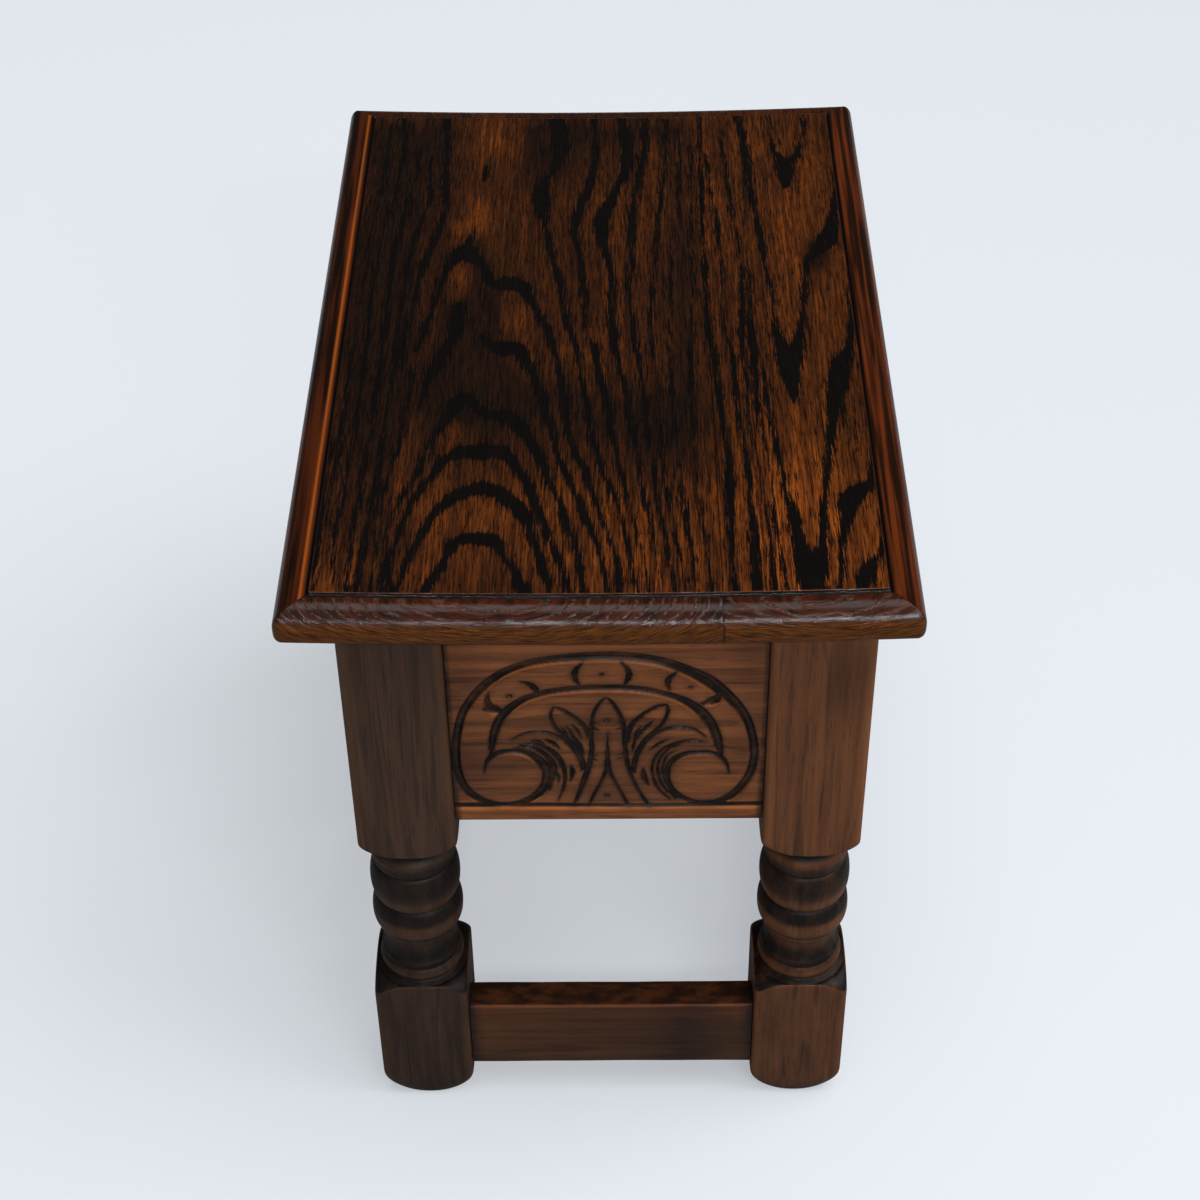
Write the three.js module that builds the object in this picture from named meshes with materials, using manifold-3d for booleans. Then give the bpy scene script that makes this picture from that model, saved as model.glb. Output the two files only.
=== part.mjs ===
import * as THREE from 'three';
import { mergeVertices } from 'three/addons/utils/BufferGeometryUtils.js';
import Module from 'manifold-3d';

// A slipper box footstool in stained oak, in millimetres with +Z up.
// X runs along the box, Y from the front at -Y to the hinged back at +Y.
// The origin is on the floor under the middle of the lid.

const wasm = await Module();
wasm.setup();

// Lid: two boards glued edge to edge, cupped across their width
const lidLength = 460;
const lidWidth = 300;
const lidThickness = 18.5;
const lidCup = 2.8;
const backBoardWidth = 93;
const lidCornerRadius = 2.6;
const overhangFront = 24.2;
const overhangBack = 17.9;
const overhangEnd = 23;

// Moulding round the lid: a quirk, a long curve to the nose and a rounded lower edge
const mouldingWidth = 16.5;
const quirkDepth = 1;
const noseDepthShare = 0.62;
const underRound = 2.5;
const underRoundHeightShare = 0.22;

// Legs: square blocks with turning between them
const legHeight = 368;
const legSide = 51;
const legArris = 3;
const topBlockHeight = 156;
const footBlockHeight = 86.5;
const footRoundHeight = 23;
const footRestRadius = 22.8;

// Rails of the box and stretchers near the floor, tenoned into the legs
const railHeight = 144;
const railThickness = 19;
const railSetback = 4;
const stretcherHeight = 50;
const stretcherThickness = 18;
const stretcherSetback = 2.5;
const stretcherLift = 27;
const tenonThickness = 8;
const tenonShoulder = 9;
const tenonWeb = 7;

// Carved lines on the rails: a plain margin and the arches of each lunette
const marginHeight = 10;
const grooveWidth = 2.4;
const grooveDepth = 1.8;
const lunetteSideMargin = 3;
const lunetteHeight = 98;
const archBand = 20;

// Floor of the box: two boards resting on screwed battens
const bottomThickness = 8;
const battenSide = 14;
const battenLift = 2;
const battenScrewLength = 24;
const battenScrewHeadRadius = 3.2;
const battenScrewShankRadius = 1.6;
const battenScrewInset = 38;

// Butt hinges between the back rail and the lid
const hingeLength = 50;
const hingeInset = 95;
const leafWidth = 16;
const leafThickness = 1.8;
const knuckleRadius = 2.6;
const pinRadius = 1.1;
const hingeScrewLength = 12;
const hingeScrewHeadRadius = 2.6;
const hingeScrewShankRadius = 1.2;
const hingeScrewInset = 8;

// Screw heads
const headConeShare = 0.55;
const slotWidthShare = 0.3;
const slotDepthShare = 0.22;

// Clearance between pieces, and the length by which a cutting shape passes a face
const pieceGap = 0.3;
const overrun = 3;

// Counts of facets and of repeated things
const turningFacets = 24;
const smallFacets = 12;
const cupSteps = 12;
const edgeSteps = 6;
const underSteps = 3;
const arrisSteps = 2;
const cornerSteps = 3;
const archSteps = 20;
const knuckleCount = 5;
const screwsPerLeaf = 3;
const lunettesPerLongRail = 2;

// The turning between the blocks, from the foot up. Each row is a bowed step:
// its end height as a share of the turned length, then its end radius and its
// bow, outward if positive, as shares of half the leg's side, and its count of facets.
const turningShares = [
  [0.074, 1, 0.09, 3],
  [0.088, 0.83, 0, 1],
  [0.15, 0.785, 0.09, 3],
  [0.161, 0.845, 0, 1],
  [0.184, 0.845, 0, 1],
  [0.312, 0.785, -0.075, 4],
  [0.32, 0.82, 0, 1],
  [0.5, 0.843, 0.13, 5],
  [0.718, 0.81, 0.15, 6],
  [0.735, 0.86, 0, 1],
  [0.806, 0.86, 0.03, 2],
  [0.846, 0.745, 0, 1],
  [0.903, 1, 0, 1],
];
const footBowShare = 0.12;
const footBowSteps = 4;
const blockBowShare = 0.085;
const blockBowSteps = 3;

// Half sizes and planes of the frame
const frameHalfLength = lidLength / 2 - overhangEnd;
const frameFront = -lidWidth / 2 + overhangFront;
const frameBack = lidWidth / 2 - overhangBack;
const frameMiddle = (frameFront + frameBack) / 2;
const frameHalfWidth = (frameBack - frameFront) / 2;
const longRailSpan = 2 * (frameHalfLength - legSide);
const endRailSpan = 2 * (frameHalfWidth - legSide);
const railBottom = legHeight - railHeight;
const lidBottom = legHeight + pieceGap;
const battenBottom = railBottom + battenLift;
const bottomBoardLow = battenBottom + battenSide + pieceGap;

// Hinge line, just behind the back rail and level with the gap under the lid
const hingeY = frameBack - railSetback + knuckleRadius + pieceGap;
const hingeZ = legHeight + pieceGap / 2;
const hingeX = frameHalfLength - hingeInset;
const knucklePitch = hingeLength / knuckleCount;
const leafScrewY = -(leafWidth + knuckleRadius) / 2;

function solid(geometry) {
  const bare = geometry.clone();
  bare.deleteAttribute('normal');
  bare.deleteAttribute('uv');
  const merged = mergeVertices(bare);
  const corners = merged.index.array;
  const kept = [];
  for (let first = 0; first < corners.length; first += 3) {
    const [a, b, c] = corners.slice(first, first + 3);
    if (a !== b && b !== c && c !== a) {
      kept.push(a, b, c);
    }
  }
  return new wasm.Manifold(new wasm.Mesh({
    numProp: 3,
    vertProperties: new Float32Array(merged.attributes.position.array),
    triVerts: new Uint32Array(kept),
  }));
}

function geometryOf(shape) {
  const mesh = shape.getMesh();
  const geometry = new THREE.BufferGeometry();
  geometry.setAttribute('position', new THREE.BufferAttribute(mesh.vertProperties, 3));
  geometry.setIndex(new THREE.BufferAttribute(mesh.triVerts, 1));
  geometry.computeVertexNormals();
  return geometry;
}

// A block between two planes on each axis.
function block([x0, x1], [y0, y1], [z0, z1]) {
  const geometry = new THREE.BoxGeometry(x1 - x0, y1 - y0, z1 - z0);
  geometry.translate((x0 + x1) / 2, (y0 + y1) / 2, (z0 + z1) / 2);
  return solid(geometry);
}

// A cylinder along X between two planes.
function rod(radius, [x0, x1], facets) {
  const geometry = new THREE.CylinderGeometry(radius, radius, x1 - x0, facets);
  geometry.rotateZ(Math.PI / 2);
  geometry.translate((x0 + x1) / 2, 0, 0);
  return solid(geometry);
}

// A span from one size to another, turned round when it lies on the low side.
function span(side, near, far) {
  return side > 0 ? [near, far] : [-far, -near];
}

// The moulded edge below its quirk, as [inset from the nose, depth below the field].
function edgeCurve() {
  const noseDepth = lidThickness * noseDepthShare;
  const underHeight = lidThickness * underRoundHeightShare;
  const curve = [];
  for (let step = 0; step <= edgeSteps; step += 1) {
    const angle = (Math.PI / 2) * (step / edgeSteps);
    const depth = quirkDepth + (noseDepth - quirkDepth) * (1 - Math.cos(angle));
    curve.push([mouldingWidth * (1 - Math.sin(angle)), depth]);
  }
  for (let step = 0; step <= underSteps; step += 1) {
    const angle = (Math.PI / 2) * (step / underSteps);
    const depth = lidThickness - underHeight * (1 - Math.sin(angle));
    curve.push([underRound * (1 - Math.cos(angle)), depth]);
  }
  return curve;
}

// A section of the lid with a moulded edge at both ends, standing on its underside.
// With an excess it passes the field and the underside, and only shapes the edges.
function edgedSection(halfSpan, excess) {
  const edge = [[mouldingWidth, 0], ...edgeCurve()];
  if (excess > 0) {
    edge.unshift([mouldingWidth, -excess]);
    edge.push([underRound, lidThickness + excess]);
  }
  const right = edge.map(([inset, depth]) => new THREE.Vector2(halfSpan - inset, lidThickness - depth));
  const left = right.map((point) => new THREE.Vector2(-point.x, point.y));
  return new THREE.Shape([...right, ...left.reverse()]);
}

// Bends a shape across the lid, so that its long edges stand above its middle.
function cupped(geometry) {
  const places = geometry.attributes.position;
  for (let index = 0; index < places.count; index += 1) {
    const share = (2 * places.getY(index)) / lidWidth;
    places.setZ(index, places.getZ(index) + lidCup * share * share);
  }
  return geometry;
}

function lidBlank() {
  const slab = new THREE.ExtrudeGeometry(edgedSection(lidLength / 2, 0), {
    depth: lidWidth,
    steps: cupSteps,
    bevelEnabled: false,
  });
  slab.rotateX(Math.PI / 2);
  slab.translate(0, lidWidth / 2, 0);
  const sides = new THREE.ExtrudeGeometry(edgedSection(lidWidth / 2, overrun), {
    depth: lidLength + 2 * overrun,
    bevelEnabled: false,
  });
  sides.rotateX(Math.PI / 2);
  sides.rotateZ(Math.PI / 2);
  sides.translate(-lidLength / 2 - overrun, 0, 0);
  const plan = new THREE.ExtrudeGeometry(roundedOutline(lidLength, lidWidth, lidCornerRadius, cornerSteps), {
    depth: lidThickness + lidCup + 2 * overrun,
    bevelEnabled: false,
  });
  plan.translate(0, 0, -overrun);
  return solid(cupped(slab)).intersect(solid(cupped(sides))).intersect(solid(plan));
}

// A rectangle about the origin with rounded corners.
function roundedOutline(width, height, radius, steps) {
  const points = [];
  const corners = [[1, 1], [-1, 1], [-1, -1], [1, -1]];
  corners.forEach(([sideX, sideY], turn) => {
    for (let step = 0; step <= steps; step += 1) {
      const angle = (Math.PI / 2) * (turn + step / steps);
      const x = sideX * (width / 2 - radius) + radius * Math.cos(angle);
      const y = sideY * (height / 2 - radius) + radius * Math.sin(angle);
      points.push(new THREE.Vector2(x, y));
    }
  });
  return new THREE.Shape(points);
}

// A countersunk wood screw pointing down from its head, or the hole that clears it.
function screwBody(length, headRadius, shankRadius, clearance) {
  const coneDepth = headRadius * headConeShare;
  const profile = [
    new THREE.Vector2(0, -length - clearance),
    new THREE.Vector2(shankRadius + clearance, -length + shankRadius - clearance),
    new THREE.Vector2(shankRadius + clearance, -coneDepth - clearance),
    new THREE.Vector2(headRadius + clearance, -clearance),
  ];
  if (clearance > 0) {
    profile.push(new THREE.Vector2(headRadius + clearance, overrun));
    profile.push(new THREE.Vector2(0, overrun));
  } else {
    profile.push(new THREE.Vector2(0, 0));
  }
  const geometry = new THREE.LatheGeometry(profile, smallFacets);
  geometry.rotateX(Math.PI / 2);
  return solid(geometry);
}

function slottedScrew(length, headRadius, shankRadius) {
  const slotHalf = (headRadius * slotWidthShare) / 2;
  const slotFloor = -headRadius * slotDepthShare;
  const reach = headRadius + overrun;
  const slot = block([-reach, reach], [-slotHalf, slotHalf], [slotFloor, overrun]);
  return screwBody(length, headRadius, shankRadius, 0).subtract(slot);
}

// Adds a bowed step to a turned outline, an elliptic arc that stands out by its bow.
function bowTo(points, radius, height, bow, steps) {
  const from = points.at(-1);
  const along = new THREE.Vector2(radius, height).sub(from);
  const outward = new THREE.Vector2(along.y, -along.x).normalize();
  for (let step = 1; step <= steps; step += 1) {
    const angle = Math.PI * (step / steps);
    const point = from.clone().addScaledVector(along, (1 - Math.cos(angle)) / 2);
    points.push(point.addScaledVector(outward, bow * Math.sin(angle)));
  }
}

// The square leg is cut by this turned body, which clears its corners at the blocks.
function turnedBody() {
  const half = legSide / 2;
  const outside = half * Math.SQRT2;
  const turnedLength = legHeight - topBlockHeight - footBlockHeight;
  const points = [new THREE.Vector2(0, 0), new THREE.Vector2(footRestRadius, 0)];
  bowTo(points, outside, footRoundHeight, half * footBowShare, footBowSteps);
  points.push(new THREE.Vector2(outside, footBlockHeight));
  turningShares.forEach(([heightShare, radiusShare, bowShare, steps]) => {
    const height = footBlockHeight + turnedLength * heightShare;
    bowTo(points, half * radiusShare, height, half * bowShare, steps);
  });
  bowTo(points, outside, legHeight - topBlockHeight, half * blockBowShare, blockBowSteps);
  points.push(new THREE.Vector2(outside, legHeight + overrun), new THREE.Vector2(0, legHeight + overrun));
  const geometry = new THREE.LatheGeometry(points, turningFacets);
  geometry.rotateX(Math.PI / 2);
  return solid(geometry);
}

// How far a tenon goes in: it stops short of the tenon that crosses it.
function tenonLength(setback, thickness) {
  return legSide - setback - (thickness + tenonThickness) / 2 - tenonWeb;
}

// The mortise for one tenon in a leg, in the leg's own frame, for a member along X.
// The member leaves towards one side in X, and its face looks away from the side in Y.
function mortise(towardX, towardY, setback, thickness, low, high) {
  const half = legSide / 2;
  const depth = tenonLength(setback, thickness) + pieceGap;
  const middle = half - setback - thickness / 2;
  const reach = tenonThickness / 2 + pieceGap;
  const spanY = span(-towardY, middle - reach, middle + reach);
  const spanZ = [low + tenonShoulder - pieceGap, high - tenonShoulder + pieceGap];
  return block(span(towardX, half - depth, half + overrun), spanY, spanZ);
}

function mortisePair(towardX, towardY, setback, thickness, low, high) {
  const alongX = mortise(towardX, towardY, setback, thickness, low, high);
  const alongY = mortise(towardY, -towardX, setback, thickness, low, high).rotate([0, 0, 90]);
  return alongX.add(alongY);
}

function legSolid(towardX, towardY) {
  const square = new THREE.ExtrudeGeometry(roundedOutline(legSide, legSide, legArris, arrisSteps), {
    depth: legHeight,
    bevelEnabled: false,
  });
  const railMortises = mortisePair(towardX, towardY, railSetback, railThickness, railBottom, legHeight);
  const stretcherTop = stretcherLift + stretcherHeight;
  const lowMortises = mortisePair(
    towardX, towardY, stretcherSetback, stretcherThickness, stretcherLift, stretcherTop);
  return solid(square).intersect(turnedBody()).subtract(railMortises).subtract(lowMortises);
}

// A rail or stretcher along X about the origin, with a tenon at each end.
function tenonedMember(length, thickness, height, setback) {
  const halfBody = length / 2 - pieceGap;
  const halfWhole = length / 2 + tenonLength(setback, thickness);
  const body = block([-halfBody, halfBody], [-thickness / 2, thickness / 2], [0, height]);
  const tenonY = [-tenonThickness / 2, tenonThickness / 2];
  const tenon = block([-halfWhole, halfWhole], tenonY, [tenonShoulder, height - tenonShoulder]);
  return body.add(tenon);
}

// A groove of even width along part of an ellipse, cut into a rail's face at -Y.
function archGroove(centreX, centreZ, radiusX, radiusZ, startAngle, face) {
  const points = [];
  const sweep = Math.PI - 2 * startAngle;
  [grooveWidth / 2, -grooveWidth / 2].forEach((offset, side) => {
    for (let step = 0; step <= archSteps; step += 1) {
      const turn = side === 0 ? step : archSteps - step;
      const angle = startAngle + sweep * (turn / archSteps);
      const x = centreX + (radiusX + offset) * Math.cos(angle);
      const z = centreZ + (radiusZ + offset) * Math.sin(angle);
      points.push(new THREE.Vector2(x, z));
    }
  });
  const geometry = new THREE.ExtrudeGeometry(new THREE.Shape(points), {
    depth: grooveDepth + overrun,
    bevelEnabled: false,
  });
  geometry.rotateX(Math.PI / 2);
  geometry.translate(0, face + grooveDepth, 0);
  return solid(geometry);
}

// One lunette: an outer arch that turns in at its feet, and an inner arch.
function lunetteGrooves(centreX, width, face) {
  const radiusX = width / 2 - lunetteSideMargin - grooveWidth;
  const radiusZ = lunetteHeight / 2;
  const centreZ = marginHeight + radiusZ + grooveWidth;
  const outer = archGroove(centreX, centreZ, radiusX, radiusZ, -Math.PI / 4, face);
  const inner = archGroove(centreX, centreZ, radiusX - archBand, radiusZ - archBand, 0, face);
  return outer.add(inner);
}

// A rail about the origin with its carved face at -Y.
function railSolid(length, lunettes) {
  const face = -railThickness / 2;
  const reach = length / 2 + overrun;
  let rail = tenonedMember(length, railThickness, railHeight, railSetback);
  const marginZ = [marginHeight - grooveWidth, marginHeight];
  rail = rail.subtract(block([-reach, reach], [face - overrun, face + grooveDepth], marginZ));
  const width = length / lunettes;
  const firstCentre = (width - length) / 2;
  for (let index = 0; index < lunettes; index += 1) {
    rail = rail.subtract(lunetteGrooves(firstCentre + index * width, width, face));
  }
  return rail;
}

// Half of the box floor, notched round the legs, with its inner edge on the middle line.
function bottomBoardSolid(side) {
  const halfX = frameHalfLength - railSetback - railThickness - pieceGap;
  const farY = frameHalfWidth - railSetback - railThickness - pieceGap;
  const notchX = frameHalfLength - legSide - pieceGap;
  const notchY = frameHalfWidth - legSide - pieceGap;
  const spanZ = [0, bottomThickness];
  const nearY = pieceGap / 2;
  const wide = block([-halfX, halfX], span(side, nearY, notchY), spanZ);
  const deep = block([-notchX, notchX], span(side, nearY, farY), spanZ);
  return wide.add(deep);
}

// Places of the screws along a batten, counted from its middle.
function battenScrewPlaces(length) {
  const place = length / 2 - battenScrewInset;
  return [-place, place];
}

// A screw or its clearance hole, pointing along -Y from a face at Y = 0.
function levelScrew(shape, x, z) {
  return shape.rotate([-90, 0, 0]).translate([x, 0, z]);
}

// A batten along X with its screwed face at Y = 0 and its back at -Y.
function battenSolid(length) {
  const half = length / 2 - pieceGap;
  let batten = block([-half, half], [-battenSide, 0], [0, battenSide]);
  battenScrewPlaces(length).forEach((x) => {
    const hole = screwBody(battenScrewLength, battenScrewHeadRadius, battenScrewShankRadius, pieceGap);
    batten = batten.subtract(levelScrew(hole, x, battenSide / 2));
  });
  return batten;
}

// The screw holes that a rail needs for its batten, in the rail's own frame.
function battenHolesInRail(length) {
  const holes = battenScrewPlaces(length).map((x) => {
    const hole = screwBody(battenScrewLength, battenScrewHeadRadius, battenScrewShankRadius, pieceGap);
    const face = railThickness / 2 + pieceGap + battenSide;
    return levelScrew(hole, x, battenLift + battenSide / 2).translate([0, face, 0]);
  });
  return holes[0].add(holes[1]);
}

function hingeScrewHole() {
  return screwBody(hingeScrewLength, hingeScrewHeadRadius, hingeScrewShankRadius, pieceGap);
}

// Places of the screws along one leaf, counted from the hinge's middle.
function leafScrewPlaces() {
  const reach = hingeLength / 2 - hingeScrewInset;
  return Array.from({ length: screwsPerLeaf }, (_, index) => {
    return -reach + (2 * reach * index) / (screwsPerLeaf - 1);
  });
}

// A screw or hole of one leaf in the hinge's frame: down through the leaf on the
// frame, side -1, or up through the leaf on the lid, side 1.
function leafScrew(shape, x, side) {
  const turned = side > 0 ? shape.rotate([180, 0, 0]) : shape;
  return turned.translate([x, leafScrewY, (side * pieceGap) / 2]);
}

// The space that a leaf and its knuckles need in the wood.
function leafRecess(side) {
  const reachX = hingeLength / 2 + pieceGap;
  const far = pieceGap / 2 + leafThickness + pieceGap;
  const spanY = [-leafWidth - pieceGap, 0];
  const spanZ = span(side, -overrun, far);
  let recess = block([-reachX, reachX], spanY, spanZ);
  recess = recess.add(rod(knuckleRadius + pieceGap, [-reachX, reachX], smallFacets));
  leafScrewPlaces().forEach((x) => {
    recess = recess.add(leafScrew(hingeScrewHole(), x, side));
  });
  return recess;
}

// One hinge leaf in the hinge's frame, with every second knuckle.
function leafSolid(side) {
  const spanZ = span(side, pieceGap / 2, pieceGap / 2 + leafThickness);
  const edge = -knuckleRadius - pieceGap;
  let leaf = block([-hingeLength / 2, hingeLength / 2], [-leafWidth, edge], spanZ);
  const first = side > 0 ? 1 : 0;
  for (let index = first; index < knuckleCount; index += 2) {
    const low = index * knucklePitch - hingeLength / 2;
    const spanX = [low + pieceGap / 2, low + knucklePitch - pieceGap / 2];
    leaf = leaf.add(rod(knuckleRadius, spanX, smallFacets));
    leaf = leaf.add(block(spanX, [-leafWidth / 2, 0], spanZ));
  }
  const boreSpan = [-hingeLength / 2 - overrun, hingeLength / 2 + overrun];
  leaf = leaf.subtract(rod(pinRadius + pieceGap, boreSpan, smallFacets));
  leafScrewPlaces().forEach((x) => {
    leaf = leaf.subtract(leafScrew(hingeScrewHole(), x, side));
  });
  return leaf;
}

const oakTop = () => new THREE.MeshStandardMaterial({ color: 0x4a2412, roughness: 0.3, metalness: 0 });
const oakFrame = () => new THREE.MeshStandardMaterial({ color: 0x4f2f1c, roughness: 0.5, metalness: 0 });
const oakCarved = () => new THREE.MeshStandardMaterial({ color: 0x5a3217, roughness: 0.45, metalness: 0 });
const oakInside = () => new THREE.MeshStandardMaterial({ color: 0x8a6440, roughness: 0.7, metalness: 0 });
const agedBrass = () => new THREE.MeshStandardMaterial({ color: 0x8f7440, roughness: 0.4, metalness: 1 });
const darkSteel = () => new THREE.MeshStandardMaterial({ color: 0x5b5650, roughness: 0.45, metalness: 1 });

function addPiece(group, name, shape, material, place = [0, 0, 0]) {
  const mesh = new THREE.Mesh(geometryOf(shape), material);
  mesh.name = name;
  mesh.position.set(...place);
  group.add(mesh);
}

function addLegs(group) {
  const sides = [['left', -1], ['right', 1]];
  const fronts = [['front', -1], ['back', 1]];
  fronts.forEach(([frontName, sideY]) => {
    sides.forEach(([sideName, sideX]) => {
      const x = sideX * (frameHalfLength - legSide / 2);
      const y = frameMiddle + sideY * (frameHalfWidth - legSide / 2);
      addPiece(group, `leg_${frontName}_${sideName}`, legSolid(-sideX, -sideY), oakFrame(), [x, y, 0]);
    });
  });
}

// The four sides of the frame: name, turn about Z, length between legs, half span
// and number of lunettes.
const frameSides = [
  ['front', 0, longRailSpan, frameHalfWidth, lunettesPerLongRail],
  ['right_end', Math.PI / 2, endRailSpan, frameHalfLength, 1],
  ['back', Math.PI, longRailSpan, frameHalfWidth, lunettesPerLongRail],
  ['left_end', -Math.PI / 2, endRailSpan, frameHalfLength, 1],
];

// A group whose -Y looks out of one side of the frame, set in from its outer face.
function sideGroup(group, turn, halfSpan, inset) {
  const side = new THREE.Group();
  const distance = halfSpan - inset;
  side.rotation.z = turn;
  side.position.set(distance * Math.sin(turn), frameMiddle - distance * Math.cos(turn), 0);
  group.add(side);
  return side;
}

// The recesses for both hinge leaves in the top of the back rail, which is turned
// half round, so its own +Y looks to the front of the box.
function hingeRecessesInRail() {
  const railMiddleY = frameBack - railSetback - railThickness / 2;
  const place = [hingeX, hingeY - railMiddleY, hingeZ - railBottom];
  const right = leafRecess(-1).translate(place);
  const left = leafRecess(-1).translate([-place[0], place[1], place[2]]);
  return right.add(left).rotate([0, 0, 180]);
}

function addRails(group) {
  frameSides.forEach(([name, turn, length, halfSpan, lunettes]) => {
    const side = sideGroup(group, turn, halfSpan, railSetback + railThickness / 2);
    let rail = railSolid(length, lunettes).subtract(battenHolesInRail(length));
    if (name === 'back') {
      rail = rail.subtract(hingeRecessesInRail());
    }
    addPiece(side, `rail_${name}`, rail, oakCarved(), [0, 0, railBottom]);
  });
}

function addStretchers(group) {
  frameSides.forEach(([name, turn, length, halfSpan]) => {
    const side = sideGroup(group, turn, halfSpan, stretcherSetback + stretcherThickness / 2);
    const stretcher = tenonedMember(length, stretcherThickness, stretcherHeight, stretcherSetback);
    addPiece(side, `stretcher_${name}`, stretcher, oakFrame(), [0, 0, stretcherLift]);
  });
}

function addFloor(group) {
  [['front', -1], ['back', 1]].forEach(([name, side]) => {
    const place = [0, frameMiddle, bottomBoardLow];
    addPiece(group, `bottom_board_${name}`, bottomBoardSolid(side), oakInside(), place);
  });
  frameSides.forEach(([name, turn, length, halfSpan]) => {
    const inset = railSetback + railThickness + pieceGap + battenSide;
    const side = sideGroup(group, turn, halfSpan, inset);
    addPiece(side, `batten_${name}`, battenSolid(length), oakInside(), [0, 0, battenBottom]);
    battenScrewPlaces(length).forEach((x, index) => {
      const screw = slottedScrew(battenScrewLength, battenScrewHeadRadius, battenScrewShankRadius);
      const placed = levelScrew(screw, x, battenSide / 2);
      addPiece(side, `batten_screw_${name}_${index + 1}`, placed, darkSteel(), [0, 0, battenBottom]);
    });
  });
}

const hingeSides = [['left', -1], ['right', 1]];

function addHinge(frameGroup, lidGroup, name, sideX) {
  const place = [sideX * hingeX, hingeY, hingeZ];
  const pinSpan = [-hingeLength / 2, hingeLength / 2];
  addPiece(frameGroup, `hinge_${name}_frame_leaf`, leafSolid(-1), agedBrass(), place);
  addPiece(frameGroup, `hinge_${name}_pin`, rod(pinRadius, pinSpan, smallFacets), agedBrass(), place);
  addPiece(lidGroup, `hinge_${name}_lid_leaf`, leafSolid(1), agedBrass(), place);
  leafScrewPlaces().forEach((x, index) => {
    const screw = () => slottedScrew(hingeScrewLength, hingeScrewHeadRadius, hingeScrewShankRadius);
    const label = index + 1;
    addPiece(frameGroup, `hinge_${name}_frame_screw_${label}`, leafScrew(screw(), x, -1), agedBrass(), place);
    addPiece(lidGroup, `hinge_${name}_lid_screw_${label}`, leafScrew(screw(), x, 1), agedBrass(), place);
  });
}

function addLid(group) {
  let lid = lidBlank().translate([0, 0, lidBottom]);
  hingeSides.forEach(([, sideX]) => {
    lid = lid.subtract(leafRecess(1).translate([sideX * hingeX, hingeY, hingeZ]));
  });
  const jointY = lidWidth / 2 - backBoardWidth;
  const spanX = [-lidLength, lidLength];
  const spanZ = [0, 2 * legHeight];
  const front = block(spanX, [-lidWidth, jointY - pieceGap / 2], spanZ);
  const back = block(spanX, [jointY + pieceGap / 2, lidWidth], spanZ);
  addPiece(group, 'lid_board_front', lid.intersect(front), oakTop());
  addPiece(group, 'lid_board_back', lid.intersect(back), oakTop());
}

const footstool = new THREE.Group();
const frame = new THREE.Group();
const lid = new THREE.Group();
footstool.add(frame, lid);
addLegs(frame);
addRails(frame);
addStretchers(frame);
addFloor(frame);
addLid(lid);
hingeSides.forEach(([name, sideX]) => addHinge(frame, lid, name, sideX));

export default footstool;
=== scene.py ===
import math

import bmesh
import bpy
import numpy as np
from mathutils import Euler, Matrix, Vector


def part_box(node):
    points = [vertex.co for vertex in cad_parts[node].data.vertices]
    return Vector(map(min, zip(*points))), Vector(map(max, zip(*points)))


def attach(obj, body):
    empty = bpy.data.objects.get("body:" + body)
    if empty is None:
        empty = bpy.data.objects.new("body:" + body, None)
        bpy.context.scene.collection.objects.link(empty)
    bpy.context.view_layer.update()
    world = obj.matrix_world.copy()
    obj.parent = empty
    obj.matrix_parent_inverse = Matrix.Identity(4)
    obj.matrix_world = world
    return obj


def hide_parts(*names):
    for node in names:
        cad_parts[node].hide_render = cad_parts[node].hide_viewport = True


# A slipper box footstool in stained oak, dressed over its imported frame.
# Shapes are worked out in millimetres and made in metres, with +Z up.
# X runs along the box, Y from the front at -Y to the hinged back at +Y.

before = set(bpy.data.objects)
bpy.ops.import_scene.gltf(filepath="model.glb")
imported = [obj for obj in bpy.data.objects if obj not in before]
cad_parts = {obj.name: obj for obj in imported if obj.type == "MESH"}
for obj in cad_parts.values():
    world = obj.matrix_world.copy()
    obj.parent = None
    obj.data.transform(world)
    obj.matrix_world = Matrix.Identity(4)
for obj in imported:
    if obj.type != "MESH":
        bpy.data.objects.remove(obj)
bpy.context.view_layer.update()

MM = 0.001
CAMERA_AT = Vector((1.0288, 0.0101, 1.1067))
CAMERA_TURN = Euler((math.radians(48.399), math.radians(0.627), math.radians(90.118)))
PHOTO_SIDE = 1200
FOCAL_PIXELS, SENSOR_WIDTH = 2368.0, 36.0

LID_LENGTH, LID_WIDTH, LID_THICK, LID_CUP = 460.0, 300.0, 18.5, 2.8
LID_LOW, LID_CORNER = 368.3, 4.2
FIELD_INSET = 16.9
FIELD_HALF = np.array([LID_LENGTH / 2 - FIELD_INSET, LID_WIDTH / 2 - FIELD_INSET])
# The sunk step between the lid's field and its moulding, as insets and depths.
QUIRK = [(16.62, 0.05), (16.5, 0.22), (16.48, 0.4), (16.4, 1.5), (15.9, 1.8), (15.3, 1.5), (15.0, 1.2)]
SLOPE_INSET, SLOPE_DEPTH, SLOPE_POWER = 15.4, 1.0, 2.0 / 2.4
NOSE_DEPTH, NOSE_LOW = 0.62 * LID_THICK, LID_THICK * (1 - 0.22)
UNDER_ROUND = 2.5
JOINT_Y, JOINT_GAP = 57.0, 0.1

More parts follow.
